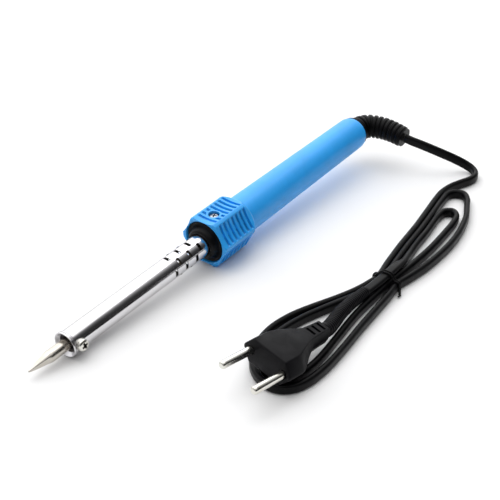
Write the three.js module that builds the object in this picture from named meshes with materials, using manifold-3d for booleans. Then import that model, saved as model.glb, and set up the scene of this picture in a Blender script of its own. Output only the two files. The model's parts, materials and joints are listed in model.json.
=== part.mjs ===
// A 30 W class hand soldering iron with a plug-in pencil tip, laid on a table beside its folded lead.
// Millimetres, +Z up. The iron's own axis runs along its local X, with the tip at the positive end
// and the collar's front face at x = 0. The whole iron then leans nose down until it rests on the
// collar's two lower ridges and on the rim of the nose ferrule.
import * as THREE from "three";
import { mergeVertices } from "three/addons/utils/BufferGeometryUtils.js";
import Module from "manifold-3d";

const wasm = await Module();
wasm.setup();

// ---------- driving dimensions ----------
const GAP = 0.3; // clearance kept between touching pieces

// tip and nose
const TIP_END = 120;
const TIP_SHOULDER = 106.4;
const TIP_REAR = 60;
const TIP_R = 2.95;
const TIP_POINT_R = 0.6;
const FERRULE_RIM = 97.5;
const FERRULE_RIM_R = 6.6;
const FLANGE_REAR = 95.6;
const SPIGOT_REAR = 80;
const FERRULE_BORE_R = TIP_R + 0.35;

// barrel
const BARREL_R = 6;
const BARREL_WALL = 0.5;
const BARREL_FRONT = FLANGE_REAR - GAP;
const BARREL_REAR = -15;
const VENT_FIRST = 27.2; // the front vent of the rows at 0, 90, 180 and 270 degrees
const VENT_PITCH = 7.56;
const VENT_ROWS = 8;
const VENTS_PER_ROW = 3;
const VENT_LENGTH = 1.25;
const VENT_WIDTH = 3.3;

// clamp screw on the nose
const SCREW_STATION = 93.2;
const SCREW_ANGLE = 84; // degrees from the top towards +Y
const SCREW_SEAT_R = BARREL_R;
const SCREW_SHAFT_R = 1.5;
const SCREW_HEAD_R = 2.9;
const SCREW_HEAD_HEIGHT = 1.9;
const WASHER_R = 2.95;
const WASHER_THICKNESS = 0.5;
const LOOSE = 0.25; // clearance under the washer and under the screw head

// collar
const PANELS = 6;
const RIDGE_R = 14;
const PANEL_R = 11.95; // the middle of a panel, from the axis
const LAND_HALF_ANGLE = 6;
const PANEL_HALF_ANGLE = 180 / PANELS - LAND_HALF_ANGLE;
const COLLAR_LENGTH = 23;
const SHOULDER_END = 28;
const GROOVES = 7;
const GROOVE_FIRST = 3.8;
const GROOVE_PITCH = 3.09;
const GROOVE_WIDTH = 1.5;
const GROOVE_DEPTH = 0.75;
const GROOVE_HALF_LENGTH = 4.8;
const WINDOW_STATION = -8.9;
const WINDOW_R = 2.9;
const WINDOW_RIM = 1;
const MOUTH_R = 11.45;
const MOUTH_DEPTH = 2.6;
const COLLAR_BORE_R = 10.6;
const COLLAR_BORE_END = -20;

// handle
const HANDLE_FRONT_R = 10.2;
const HANDLE_REAR_R = 9.15;
const HANDLE_REAR = -131.4;
const HANDLE_BORE_R = 7.6;
const HANDLE_MOUTH_R = 7;
const HANDLE_MOUTH_START = HANDLE_REAR + 3.2;
const REAR_RING_THICKNESS = 1.2;
const REAR_RING_R = 8.3;

// lead
const CORD_WIDTH = 5.2;
const CORD_THICKNESS = 3.2;

// stance: leaning until the ferrule rim and two lower ridges of the collar touch the table
const RIDGE_DROP = RIDGE_R * Math.cos(THREE.MathUtils.degToRad(PANEL_HALF_ANGLE));
const LEAN = Math.atan((RIDGE_DROP - FERRULE_RIM_R) / FERRULE_RIM);
const AXIS_HEIGHT = RIDGE_DROP * Math.cos(LEAN);
const COLLAR_X = 6.71; // puts the middle of the iron's length over the origin

// ---------- finishes ----------
const finish = (color, roughness, metalness) =>
  new THREE.MeshStandardMaterial({ color, roughness, metalness });
const BLUE = finish(0x4fa8f0, 0.42, 0);
const BLACK_PLASTIC = finish(0x1c1c1c, 0.5, 0);
const BLACK_RUBBER = finish(0x222423, 0.62, 0);
const POLISHED_STEEL = finish(0xd6d4d0, 0.16, 1);
const PLATED_TIP = finish(0xcfc9bd, 0.3, 1);
const NICKEL = finish(0xc9c7bb, 0.25, 1);
const CERAMIC = finish(0xe8e0d0, 0.75, 0);
const RESISTANCE_WIRE = finish(0x8c8880, 0.45, 1);
const MICA = finish(0xb9a67c, 0.5, 0);
const BRASS = finish(0xc29a4a, 0.35, 1);
const GLASS_SLEEVE = finish(0xe9e5d8, 0.9, 0);
const CORE_BROWN = finish(0x6b4024, 0.5, 0);
const CORE_BLUE = finish(0x2a64b4, 0.5, 0);

// ---------- helpers ----------
const rad = THREE.MathUtils.degToRad;

function solid(geometry, matrix = new THREE.Matrix4()) {
  const bare = new THREE.BufferGeometry();
  const source = geometry.index ? geometry.toNonIndexed() : geometry;
  bare.setAttribute("position", source.getAttribute("position").clone());
  bare.applyMatrix4(matrix);
  const merged = mergeVertices(bare, 1e-4);
  return new wasm.Manifold(
    new wasm.Mesh({
      numProp: 3,
      vertProperties: merged.attributes.position.array,
      triVerts: new Uint32Array(merged.index.array),
    }),
  );
}

function geometryOf(manifold) {
  const mesh = manifold.getMesh();
  const geometry = new THREE.BufferGeometry();
  geometry.setAttribute("position", new THREE.BufferAttribute(mesh.vertProperties, 3));
  geometry.setIndex(new THREE.BufferAttribute(mesh.triVerts, 1));
  geometry.computeVertexNormals();
  return geometry;
}

function node(name, geometry, material, parent) {
  const mesh = new THREE.Mesh(geometry, material);
  mesh.name = name;
  parent.add(mesh);
  return mesh;
}

// A body of revolution about the X axis. The profile is [x, radius] pairs from the rear to the
// front along the outside, and back along the inside if the body is hollow.
function turned(profile, segments = 32) {
  const points = profile.map(([x, r]) => new THREE.Vector2(r, x));
  return new THREE.LatheGeometry(points, segments).rotateZ(-Math.PI / 2);
}

function tubeProfile(rear, front, inner, outer) {
  return [[rear, inner], [rear, outer], [front, outer], [front, inner], [rear, inner]];
}

function rodProfile(rear, front, radius) {
  return [[rear, 0], [rear, radius], [front, radius], [front, 0]];
}

const place = (x, y, z) => new THREE.Matrix4().makeTranslation(x, y, z);
const aboutX = (degrees) => new THREE.Matrix4().makeRotationX(-rad(degrees));

// A smooth swept body of round section whose radius changes along a path.
function loft(path, radiusAt, rings, sides) {
  const curve = new THREE.CatmullRomCurve3(path);
  const frames = curve.computeFrenetFrames(rings, false);
  const positions = [];
  for (let i = 0; i <= rings; i++) {
    const centre = curve.getPointAt(i / rings);
    const radius = radiusAt(i / rings, i);
    for (let j = 0; j < sides; j++) {
      const angle = (j / sides) * 2 * Math.PI;
      const point = centre
        .clone()
        .addScaledVector(frames.normals[i], radius * Math.cos(angle))
        .addScaledVector(frames.binormals[i], radius * Math.sin(angle));
      positions.push(...point.toArray());
    }
  }
  positions.push(...curve.getPointAt(0).toArray(), ...curve.getPointAt(1).toArray());
  const first = (rings + 1) * sides;
  const faces = [];
  for (let j = 0; j < sides; j++) {
    const k = (j + 1) % sides;
    for (let i = 0; i < rings; i++) {
      const [a, b] = [i * sides + j, i * sides + k];
      const [c, d] = [a + sides, b + sides];
      faces.push(a, b, c, b, d, c);
    }
    faces.push(first, k, j, first + 1, rings * sides + j, rings * sides + k);
  }
  const geometry = new THREE.BufferGeometry();
  geometry.setAttribute("position", new THREE.Float32BufferAttribute(positions, 3));
  geometry.setIndex(faces);
  return geometry;
}

const vectors = (points) => points.map(([x, y, z]) => new THREE.Vector3(x, y, z));

// A straight or curved run of constant section, extruded along a path.
function run(points, section, steps) {
  const path = new THREE.CatmullRomCurve3(vectors(points));
  return new THREE.ExtrudeGeometry(section, { steps, bevelEnabled: false, extrudePath: path });
}

function roundSection(radius, sides) {
  const corners = [];
  for (let i = 0; i < sides; i++) {
    const angle = (i / sides) * 2 * Math.PI;
    corners.push(new THREE.Vector2(radius * Math.cos(angle), radius * Math.sin(angle)));
  }
  return new THREE.Shape(corners);
}

// ---------- the tip and the nose ----------
function tip() {
  return turned([
    [TIP_REAR, 0],
    [TIP_REAR, TIP_R - 0.5],
    [TIP_REAR + 0.5, TIP_R],
    [TIP_SHOULDER, TIP_R],
    [TIP_SHOULDER + 0.8, TIP_R - 0.12],
    [TIP_END - 0.9, TIP_POINT_R],
    [TIP_END - 0.2, TIP_POINT_R * 0.6],
    [TIP_END, TIP_POINT_R * 0.2],
    [TIP_END, 0],
  ], 24);
}

// A cylinder that stands on the axis at that station, from one radius out to another.
function drill(station, radius, from, to, sides = 20) {
  const cylinder = new THREE.CylinderGeometry(radius, radius, to - from, sides);
  return cylinder.rotateX(Math.PI / 2).translate(station, 0, (from + to) / 2);
}

const clampHole = () =>
  solid(drill(SCREW_STATION, SCREW_SHAFT_R + GAP, TIP_R, BARREL_R + 3), aboutX(SCREW_ANGLE));

// The bush that closes the barrel's nose: a spigot in the barrel, a thin flange and a cupped mouth.
function noseFerrule() {
  const spigotR = BARREL_R - BARREL_WALL - GAP;
  const body = turned([
    [SPIGOT_REAR, FERRULE_BORE_R],
    [SPIGOT_REAR, spigotR],
    [FLANGE_REAR, spigotR],
    [FLANGE_REAR, FERRULE_RIM_R - 0.4],
    [FLANGE_REAR + 0.6, FERRULE_RIM_R - 0.12],
    [FERRULE_RIM, FERRULE_RIM_R],
    [FERRULE_RIM, FERRULE_RIM_R - 0.7],
    [FERRULE_RIM - 1.8, FERRULE_BORE_R + 1.3],
    [FERRULE_RIM - 2.3, FERRULE_BORE_R],
    [SPIGOT_REAR, FERRULE_BORE_R],
  ]);
  const seat = drill(SCREW_STATION, WASHER_R + GAP, SCREW_SEAT_R, SCREW_SEAT_R + 3, 24);
  return geometryOf(solid(body).subtract(clampHole()).subtract(solid(seat, aboutX(SCREW_ANGLE))));
}

// Screws are made pointing along local X, head outwards, with the seat under the head at x = 0.
function panScrew(headR, headHeight, shaftR, shaftLength, recessR, recessWidth) {
  const body = turned(
    [
      [-shaftLength, 0],
      [-shaftLength, shaftR - 0.25],
      [-shaftLength + 0.3, shaftR],
      [0, shaftR],
      [0, headR],
      [headHeight * 0.45, headR],
      [headHeight * 0.8, headR * 0.86],
      [headHeight, headR * 0.5],
      [headHeight, 0],
    ],
    14,
  );
  const arm = () => new THREE.BoxGeometry(headHeight, recessR * 2, recessWidth);
  const depth = headHeight * 0.6;
  const lift = place(headHeight - depth + headHeight / 2, 0, 0);
  const cross = solid(arm(), lift).add(solid(arm().rotateX(Math.PI / 2), lift));
  return geometryOf(solid(body).subtract(cross));
}

// ---------- the barrel ----------
function barrelTube() {
  const inner = BARREL_R - BARREL_WALL;
  let tube = solid(turned(tubeProfile(BARREL_REAR, BARREL_FRONT, inner, BARREL_R), 36));
  for (let row = 0; row < VENT_ROWS; row++) {
    for (let i = 0; i < VENTS_PER_ROW; i++) {
      const x = VENT_FIRST - (i + (row % 2) / 2) * VENT_PITCH;
      const vent = new THREE.BoxGeometry(VENT_LENGTH, VENT_WIDTH, 3).translate(x, 0, BARREL_R);
      tube = tube.subtract(solid(vent, aboutX((row * 360) / VENT_ROWS)));
    }
  }
  return geometryOf(tube.subtract(clampHole()));
}

// ---------- the heater ----------
const CORE_REAR = 36.5;
const CORE_FRONT = 78.5;
const CORE_OUTER_R = 3.95;
const CORE_INNER_R = TIP_R + 0.4;
const CAP_REAR = 30;
const CAP_R = 5.15;
const MICA_REAR = 39;
const MICA_FRONT = 76;
const MICA_INNER_R = 4.85;
const MICA_OUTER_R = 5.1;
const MICA_SLIT = 0.9;
const WINDING_R = 4.45;
const WINDING_WIRE_R = 0.22;
const WINDING_TURNS = 9;
const WINDING_START = 41;
const WINDING_END = 74;
const LEAD_Y = 2.3;
const LEAD_R = 0.45;
const LEAD_FRONT = 40;
const LEAD_HOLE_R = 0.8;
const SLEEVE_R = 1.15;
const SLEEVE_REAR = -33;
const SLEEVE_FRONT = CAP_REAR - 1;

function heaterWinding() {
  class Helix extends THREE.Curve {
    getPoint(t, target = new THREE.Vector3()) {
      const angle = t * WINDING_TURNS * 2 * Math.PI;
      const x = WINDING_START + t * (WINDING_END - WINDING_START);
      return target.set(x, WINDING_R * Math.sin(angle), WINDING_R * Math.cos(angle));
    }
  }
  return new THREE.ExtrudeGeometry(roundSection(WINDING_WIRE_R, 4), {
    steps: WINDING_TURNS * 10,
    bevelEnabled: false,
    extrudePath: new Helix(),
  });
}

function micaWrap() {
  const sleeve = solid(turned(tubeProfile(MICA_REAR, MICA_FRONT, MICA_INNER_R, MICA_OUTER_R), 28));
  const slit = new THREE.BoxGeometry(MICA_FRONT - MICA_REAR + 2, MICA_SLIT, 2);
  slit.translate((MICA_REAR + MICA_FRONT) / 2, 0, -MICA_INNER_R);
  return geometryOf(sleeve.subtract(solid(slit)));
}

function heaterEndCap() {
  let cap = solid(turned(rodProfile(CAP_REAR, CORE_REAR - GAP, CAP_R), 28));
  for (const side of [-1, 1]) {
    const hole = turned(rodProfile(CAP_REAR - 1, CORE_REAR + 1, LEAD_HOLE_R), 16);
    cap = cap.subtract(solid(hole, place(0, side * LEAD_Y, 0)));
  }
  return geometryOf(cap);
}

// ---------- the insulator and its screws ----------
const INSULATOR_REAR = -18.5;
const INSULATOR_R = COLLAR_BORE_R - GAP;
const BARREL_SCREW_SEAT = 9.6;
const BARREL_SCREW_R = 1.2;
const BARREL_SCREW_HEAD_R = 2.4;
const BARREL_SCREW_HEAD_HEIGHT = 1.4;
const BARREL_SCREW_REACH = 3.2;

function insulator() {
  let body = solid(
    turned([
      [INSULATOR_REAR, BARREL_R + GAP],
      [INSULATOR_REAR, INSULATOR_R],
      [-MOUTH_DEPTH + GAP, INSULATOR_R],
      [-MOUTH_DEPTH + GAP, MOUTH_R - GAP],
      [-0.8, MOUTH_R - GAP],
      [-0.8, 9.6],
      [0.8, 8.5],
      [3.3, 7.8],
      [4, 7.2],
      [4, BARREL_R + GAP],
      [INSULATOR_REAR, BARREL_R + GAP],
    ], 28),
  );
  for (const angle of [0, 180]) {
    const pocketR = BARREL_SCREW_HEAD_R + 0.35;
    const pocket = drill(WINDOW_STATION, pocketR, BARREL_SCREW_SEAT, COLLAR_BORE_R + 3);
    const hole = drill(WINDOW_STATION, BARREL_SCREW_R + GAP, BARREL_R - 2, COLLAR_BORE_R, 16);
    body = body.subtract(solid(pocket, aboutX(angle))).subtract(solid(hole, aboutX(angle)));
  }
  return geometryOf(body);
}

// ---------- the handle ----------
// The collar's outline: six ridges with a narrow land each, and a scooped panel between them.
function collarOutline() {
  const shape = new THREE.Shape();
  const at = (r, degrees) => [r * Math.sin(rad(degrees)), r * Math.cos(rad(degrees))];
  const step = 360 / PANELS;
  const landEdge = PANEL_HALF_ANGLE;
  const pull = 2 * PANEL_R - RIDGE_R * Math.cos(rad(landEdge));
  shape.moveTo(...at(RIDGE_R, -landEdge));
  for (let i = 0; i < PANELS; i++) {
    const middle = i * step;
    shape.quadraticCurveTo(...at(pull, middle), ...at(RIDGE_R, middle + landEdge));
    shape.lineTo(...at(RIDGE_R, middle + step / 2));
    shape.lineTo(...at(RIDGE_R, middle + step - landEdge));
  }
  return shape;
}

// A groove across a panel, from one sideways place to another, whose floor follows the panel's scoop.
function grooveCutter(x, middle, from, to) {
  const ridgeY = RIDGE_R * Math.sin(rad(PANEL_HALF_ANGLE));
  const rise = RIDGE_R * Math.cos(rad(PANEL_HALF_ANGLE)) - PANEL_R;
  const spans = 5;
  const corners = [new THREE.Vector2(RIDGE_R + 1, from)];
  for (let i = 0; i <= spans; i++) {
    const y = from + ((to - from) * i) / spans;
    const panel = PANEL_R + rise * (y / ridgeY) ** 2;
    corners.push(new THREE.Vector2(panel - GROOVE_DEPTH, y));
  }
  corners.push(new THREE.Vector2(RIDGE_R + 1, to));
  const outline = new THREE.Shape(corners);
  const cutter = new THREE.ExtrudeGeometry(outline, { depth: GROOVE_WIDTH, bevelEnabled: false });
  cutter.translate(0, 0, -GROOVE_WIDTH / 2);
  // the extrusion's X is the panel's middle and its Z is the iron's axis
  const basis = new THREE.Matrix4().makeBasis(
    new THREE.Vector3(0, 0, 1),
    new THREE.Vector3(0, 1, 0).negate(),
    new THREE.Vector3(1, 0, 0),
  );
  return solid(cutter, place(x, 0, 0).multiply(aboutX(middle)).multiply(basis));
}

function handleShell() {
  const outline = new THREE.ExtrudeGeometry(collarOutline(), {
    depth: SHOULDER_END,
    bevelEnabled: false,
    curveSegments: 6,
  });
  // local X of the outline is sideways, local Y is up and the depth runs back from the front face
  const basis = new THREE.Matrix4().makeBasis(
    new THREE.Vector3(0, 1, 0),
    new THREE.Vector3(0, 0, 1),
    new THREE.Vector3(1, 0, 0),
  );
  const prism = solid(outline, place(-SHOULDER_END, 0, 0).multiply(basis));
  const limits = turned([
    [-SHOULDER_END, 0],
    [-SHOULDER_END, HANDLE_FRONT_R - 0.6],
    [-COLLAR_LENGTH - 2, RIDGE_R - 1.3],
    [-COLLAR_LENGTH, RIDGE_R + 0.1],
    [-0.9, RIDGE_R + 0.1],
    [0.01, RIDGE_R - 0.6],
    [0.01, 0],
  ], 48);
  const grip = turned([
    [HANDLE_REAR, 0],
    [HANDLE_REAR, HANDLE_REAR_R - 1],
    [HANDLE_REAR + 0.4, HANDLE_REAR_R - 0.35],
    [HANDLE_REAR + 1.3, HANDLE_REAR_R],
    [-SHOULDER_END, HANDLE_FRONT_R],
    [-SHOULDER_END + 3, HANDLE_FRONT_R],
    [-SHOULDER_END + 3, 0],
  ], 40);
  let shell = solid(grip).add(prism.intersect(solid(limits)));
  for (let panel = 0; panel < PANELS; panel++) {
    const middle = (panel * 360) / PANELS;
    const windowed = panel === 0 || panel === PANELS / 2;
    for (let i = 0; i < GROOVES; i++) {
      const x = -GROOVE_FIRST - i * GROOVE_PITCH;
      const away = Math.abs(x - WINDOW_STATION);
      const clear = WINDOW_R + WINDOW_RIM + GROOVE_WIDTH / 2;
      if (!windowed || away > clear) {
        shell = shell.subtract(grooveCutter(x, middle, -GROOVE_HALF_LENGTH, GROOVE_HALF_LENGTH));
        continue;
      }
      const inner = Math.sqrt(clear * clear - away * away);
      shell = shell.subtract(grooveCutter(x, middle, inner, GROOVE_HALF_LENGTH));
      shell = shell.subtract(grooveCutter(x, middle, -GROOVE_HALF_LENGTH, -inner));
    }
    if (windowed) {
      const hole = drill(WINDOW_STATION, WINDOW_R, COLLAR_BORE_R - 1, RIDGE_R + 1, 24);
      shell = shell.subtract(solid(hole, aboutX(middle)));
    }
  }
  const hollow = turned([
    [HANDLE_REAR - 1, 0],
    [HANDLE_REAR - 1, HANDLE_MOUTH_R],
    [HANDLE_MOUTH_START, HANDLE_MOUTH_R],
    [HANDLE_MOUTH_START, HANDLE_BORE_R],
    [COLLAR_BORE_END, HANDLE_BORE_R],
    [COLLAR_BORE_END, COLLAR_BORE_R],
    [-MOUTH_DEPTH, COLLAR_BORE_R],
    [-MOUTH_DEPTH, MOUTH_R],
    [1, MOUTH_R],
    [1, 0],
  ], 40);
  return geometryOf(shell.subtract(solid(hollow)));
}

// ---------- wiring inside the handle ----------
const CRIMP_FRONT = -36;
const CRIMP_REAR = -45;
const CRIMP_R = 1.6;
const SHEATH_REAR = HANDLE_REAR + 1;
const SHEATH_FRONT = SHEATH_REAR + 28.5;
const CORE_R = 0.8;
const CLAMP_X = HANDLE_REAR + 18;
const CLAMP_WIDTH = 12;
const CLAMP_LENGTH = 6;
const CLAMP_BASE_THICKNESS = 1.8;
const CLAMP_PLATE_THICKNESS = 1.2;
const CLAMP_SCREW_Y = 4.3;
const CLAMP_SCREW_R = 0.85;

function crimp(y) {
  return turned(tubeProfile(CRIMP_REAR, CRIMP_FRONT, CORE_R + 0.35, CRIMP_R), 16).translate(0, y, 0);
}

function clampPlate(z, thickness) {
  let plate = solid(
    new THREE.BoxGeometry(CLAMP_LENGTH, CLAMP_WIDTH, thickness).translate(CLAMP_X, 0, z),
  );
  for (const side of [-1, 1]) {
    const hole = drill(CLAMP_X, CLAMP_SCREW_R + GAP, z - thickness, z + thickness, 16);
    plate = plate.subtract(solid(hole, place(0, side * CLAMP_SCREW_Y, 0)));
  }
  return geometryOf(plate);
}

// A flat twin section: two round cores side by side under one sheath. The wide way is the shape's Y.
function twinSection(sides = 10) {
  const half = (CORD_WIDTH - CORD_THICKNESS) / 2;
  const radius = CORD_THICKNESS / 2;
  const corners = [];
  const perEnd = sides / 2;
  for (const [offset, start] of [[half, 0], [-half, Math.PI]]) {
    for (let i = 0; i < perEnd; i++) {
      const angle = start + (i / (perEnd - 1)) * Math.PI;
      corners.push(
        new THREE.Vector2(radius * Math.cos(angle), offset + radius * Math.sin(angle)),
      );
    }
  }
  return new THREE.Shape(corners);
}

// ---------- the strain relief, the lead and its plug ----------
// The boot grips inside the handle's rear, then swings sideways and a little down.
const BOOT_FLANGE = HANDLE_REAR + 6;
const BOOT_EXIT = HANDLE_REAR - 1.4;
const BOOT_ROUTE = [
  [-131.2, 0.8, 21.4],
  [-135.3, 3.3, 21.4],
  [-138.2, 10.3, 21.2],
  [-139, 16.9, 20.6],
  [-139.1, 24.4, 19.4],
];
const BOOT_RINGS = 44;
const BOOT_R = 6.75;
const BOOT_END_R = 5.5;
const RIB_DEPTH = 0.6;

function inIronFrame(u) {
  const x = COLLAR_X + u * Math.cos(LEAN);
  return [x, 0, AXIS_HEIGHT - u * Math.sin(LEAN)];
}

function strainRelief() {
  const path = vectors([inIronFrame(BOOT_FLANGE), inIronFrame(BOOT_EXIT), ...BOOT_ROUTE]);
  const flangeEnd = 3;
  const ribStart = 9;
  const body = loft(
    path,
    (t, i) => {
      if (i < flangeEnd) return HANDLE_BORE_R - GAP;
      if (i < ribStart) return HANDLE_MOUTH_R - GAP;
      const along = (i - ribStart) / (BOOT_RINGS - ribStart);
      const taper = THREE.MathUtils.lerp(BOOT_R, BOOT_END_R, along);
      return (i - ribStart) % 3 < 2 ? taper : taper - RIB_DEPTH;
    },
    BOOT_RINGS,
    12,
  );
  const pocket = new THREE.BoxGeometry(8, CORD_WIDTH + 0.6, CORD_THICKNESS + 0.6);
  const centre = inIronFrame(SHEATH_REAR + 3.7);
  const lean = new THREE.Matrix4().makeRotationY(LEAN);
  return geometryOf(solid(body).subtract(solid(pocket, place(...centre).multiply(lean))));
}

// From the boot's mouth down to the table, round one bend and in beside the hank.
const LEAD_ROUTE = [
  [-139.1, 24.95, 19.3],
  [-139.8, 29, 18.4],
  [-142.8, 35, 16.2],
  [-148.1, 42.8, 12.2],
  [-153.3, 49.2, 8.2],
  [-157, 54.8, 4.7],
  [-157.4, 58.7, 3.1],
  [-155.2, 62, 2.8],
  [-150.8, 64.2, 2.8],
  [-145.9, 64, 2.8],
  [-141.8, 62.6, 2.8],
  [-138.8, 61.6, 2.8],
];

// The hank: folded runs of the lead, wide at its two ends and pinched by the tie.
const HANK_LEFT = [
  [-135.4, 59.2], [-124.8, 57.9], [-106.8, 61.6], [-82.8, 66.6], [-56.8, 70.8], [-36.8, 75.4],
  [-20.8, 75.2], [-4.8, 71], [11.2, 64], [27.2, 60.2], [45.2, 61.6], [59.2, 68.6],
];
const HANK_RIGHT = [
  [68.4, 84], [65.6, 94.6], [55.2, 99.8], [37.2, 100.2], [13.2, 96.8], [-8.8, 93.4],
  [-32.8, 91.2], [-56.8, 92.8], [-80.8, 91.4], [-100.8, 88], [-120.8, 79.4], [-133.4, 69.6],
];
const STRAND_HEIGHT = 5.3;
const SLAB_HEIGHT = 2.1;
const PLUG_SIDE_X = -14.1;
const TIE_X = -32.8;
const TIE_WIRE_R = 0.35;
const TIE_Y = 83.6;
// the run that lies on top of the others
const CROWN_LENGTH = 44;
const CROWN_WIDTH = 4.6;
const CROWN_HEIGHT = 8.4;
const CROWN_Y = 82.4;

function hankOutline() {
  const outline = new THREE.CatmullRomCurve3(
    [...HANK_LEFT, ...HANK_RIGHT].map(([x, y]) => new THREE.Vector3(x, y, 0)),
    true,
  );
  return new THREE.Shape(outline.getSpacedPoints(72).map((p) => new THREE.Vector2(p.x, p.y)));
}

function cordHank() {
  const shape = hankOutline();
  const slab = (depth) =>
    solid(new THREE.ExtrudeGeometry(shape, { depth, bevelEnabled: false }).translate(0, 0, 0.05));
  const half = new THREE.BoxGeometry(200, 100, 20).translate(PLUG_SIDE_X - 100, TIE_Y, 0);
  const crown = new THREE.BoxGeometry(CROWN_LENGTH, CROWN_WIDTH, CROWN_HEIGHT);
  crown.translate(PLUG_SIDE_X - CROWN_LENGTH / 2, CROWN_Y, CROWN_HEIGHT / 2 + 0.2);
  const strapUnder = new THREE.BoxGeometry(3, 30, 2.4).translate(TIE_X, TIE_Y, 0);
  const strapLeft = new THREE.BoxGeometry(3, 6, 20).translate(TIE_X, TIE_Y - 10.6, 0);
  const strapRight = new THREE.BoxGeometry(3, 6, 20).translate(TIE_X, TIE_Y + 10.3, 0);
  return geometryOf(
    slab(SLAB_HEIGHT)
      .add(slab(STRAND_HEIGHT).intersect(solid(half)))
      .add(solid(crown))
      .subtract(solid(strapUnder))
      .subtract(solid(strapLeft))
      .subtract(solid(strapRight)),
  );
}

// A covered wire wrapped once round the hank, its ends twisted together at one side.
function twistTie() {
  return run(
    [
      [TIE_X, TIE_Y + 6.6, 0.42], [TIE_X, TIE_Y - 7.3, 0.42], [TIE_X, TIE_Y - 8.2, 0.8],
      [TIE_X, TIE_Y - 8.4, 2], [TIE_X, TIE_Y - 8.3, 5], [TIE_X, TIE_Y - 7.4, 6.4],
      [TIE_X, TIE_Y - 4.6, 8.8], [TIE_X, TIE_Y - 3, 9.5], [TIE_X, TIE_Y + 0.8, 9.5],
      [TIE_X, TIE_Y + 2.6, 8.7], [TIE_X, TIE_Y + 6.8, 6.5], [TIE_X, TIE_Y + 8.2, 4.6],
      [TIE_X + 1.2, TIE_Y + 10, 2.8], [TIE_X + 3.4, TIE_Y + 11.8, 2],
    ],
    roundSection(TIE_WIRE_R, 6),
    30,
  );
}

// Plug frame: x along the pins, y across them and z out of its flat top; x = 0 on the pin face.
const PLUG_FACE = [65, 83.8, 13.3];
const PLUG_YAW = -4.3;
const PLUG_PITCH = 6.2;
const PLUG_ROLL = -10.5;
const PLUG_HALF_WIDTH = 14;
const PLUG_FLAT_HALF_WIDTH = 9.4;
const PLUG_HALF_THICKNESS = 6.5;
const NECK_HALF_WIDTH = 4.2;
const NECK_HALF_THICKNESS = 4.4;
const NECK_START = -27;
const NECK_END = -38.4;
const PIN_SPACING = 19;
const PIN_R = 2;
const PIN_LENGTH = 19;
const PIN_ROOT = 8;
const NECK_SLOTS = 3;
const NECK_SLOT_PITCH = 3.4;
const NECK_SLOT_LENGTH = 1.5;
const NECK_SLOT_WIDTH = 5.6;
const NECK_SLOT_DEPTH = 0.8;
const SHOULDER_START = -11.5;
const SHOULDER_PULL = -18;
const THINNING_START = -20;

function plugBody() {
  const plan = new THREE.Shape();
  plan.moveTo(0, -PLUG_HALF_WIDTH);
  plan.lineTo(0, PLUG_HALF_WIDTH);
  plan.lineTo(SHOULDER_START, PLUG_HALF_WIDTH);
  plan.quadraticCurveTo(SHOULDER_PULL, PLUG_HALF_WIDTH, NECK_START, NECK_HALF_WIDTH);
  plan.lineTo(NECK_END, NECK_HALF_WIDTH);
  plan.lineTo(NECK_END, -NECK_HALF_WIDTH);
  plan.lineTo(NECK_START, -NECK_HALF_WIDTH);
  plan.quadraticCurveTo(SHOULDER_PULL, -PLUG_HALF_WIDTH, SHOULDER_START, -PLUG_HALF_WIDTH);
  const flat = new THREE.ExtrudeGeometry(plan, {
    depth: 2 * PLUG_HALF_THICKNESS,
    bevelEnabled: false,
    curveSegments: 6,
  }).translate(0, 0, -PLUG_HALF_THICKNESS);

  const side = new THREE.Shape();
  side.moveTo(0, -PLUG_HALF_THICKNESS);
  side.lineTo(THINNING_START, -PLUG_HALF_THICKNESS);
  side.lineTo(NECK_START, -NECK_HALF_THICKNESS);
  side.lineTo(NECK_END, -NECK_HALF_THICKNESS);
  side.lineTo(NECK_END, NECK_HALF_THICKNESS);
  side.lineTo(NECK_START, NECK_HALF_THICKNESS);
  side.lineTo(THINNING_START, PLUG_HALF_THICKNESS);
  side.lineTo(0, PLUG_HALF_THICKNESS);
  const profile = new THREE.ExtrudeGeometry(side, {
    depth: 2 * PLUG_HALF_WIDTH,
    bevelEnabled: false,
  });
  profile.translate(0, 0, -PLUG_HALF_WIDTH).rotateX(Math.PI / 2);

  const across = new THREE.Shape([
    new THREE.Vector2(-PLUG_HALF_WIDTH, 0),
    new THREE.Vector2(-PLUG_FLAT_HALF_WIDTH, -PLUG_HALF_THICKNESS),
    new THREE.Vector2(PLUG_FLAT_HALF_WIDTH, -PLUG_HALF_THICKNESS),
    new THREE.Vector2(PLUG_HALF_WIDTH, 0),
    new THREE.Vector2(PLUG_FLAT_HALF_WIDTH, PLUG_HALF_THICKNESS),
    new THREE.Vector2(-PLUG_FLAT_HALF_WIDTH, PLUG_HALF_THICKNESS),
  ]);
  const hexagon = new THREE.ExtrudeGeometry(across, { depth: -NECK_END, bevelEnabled: false });
  const basis = new THREE.Matrix4().makeBasis(
    new THREE.Vector3(0, 1, 0),
    new THREE.Vector3(0, 0, 1),
    new THREE.Vector3(1, 0, 0),
  );
  let body = solid(flat)
    .intersect(solid(profile))
    .intersect(solid(hexagon, place(NECK_END, 0, 0).multiply(basis)));
  for (const lateral of [-1, 1]) {
    const socket = new THREE.CylinderGeometry(PIN_R + GAP, PIN_R + GAP, PIN_ROOT * 2, 20);
    socket.rotateZ(Math.PI / 2).translate(0, (lateral * PIN_SPACING) / 2, 0);
    body = body.subtract(solid(socket));
  }
  for (let i = 0; i < NECK_SLOTS; i++) {
    for (const face of [-1, 1]) {
      const slot = new THREE.BoxGeometry(NECK_SLOT_LENGTH, NECK_SLOT_WIDTH, 2 * NECK_SLOT_DEPTH);
      slot.translate(NECK_START - 2.2 - i * NECK_SLOT_PITCH, 0, face * NECK_HALF_THICKNESS);
      body = body.subtract(solid(slot));
    }
  }
  return geometryOf(body);
}

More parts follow.
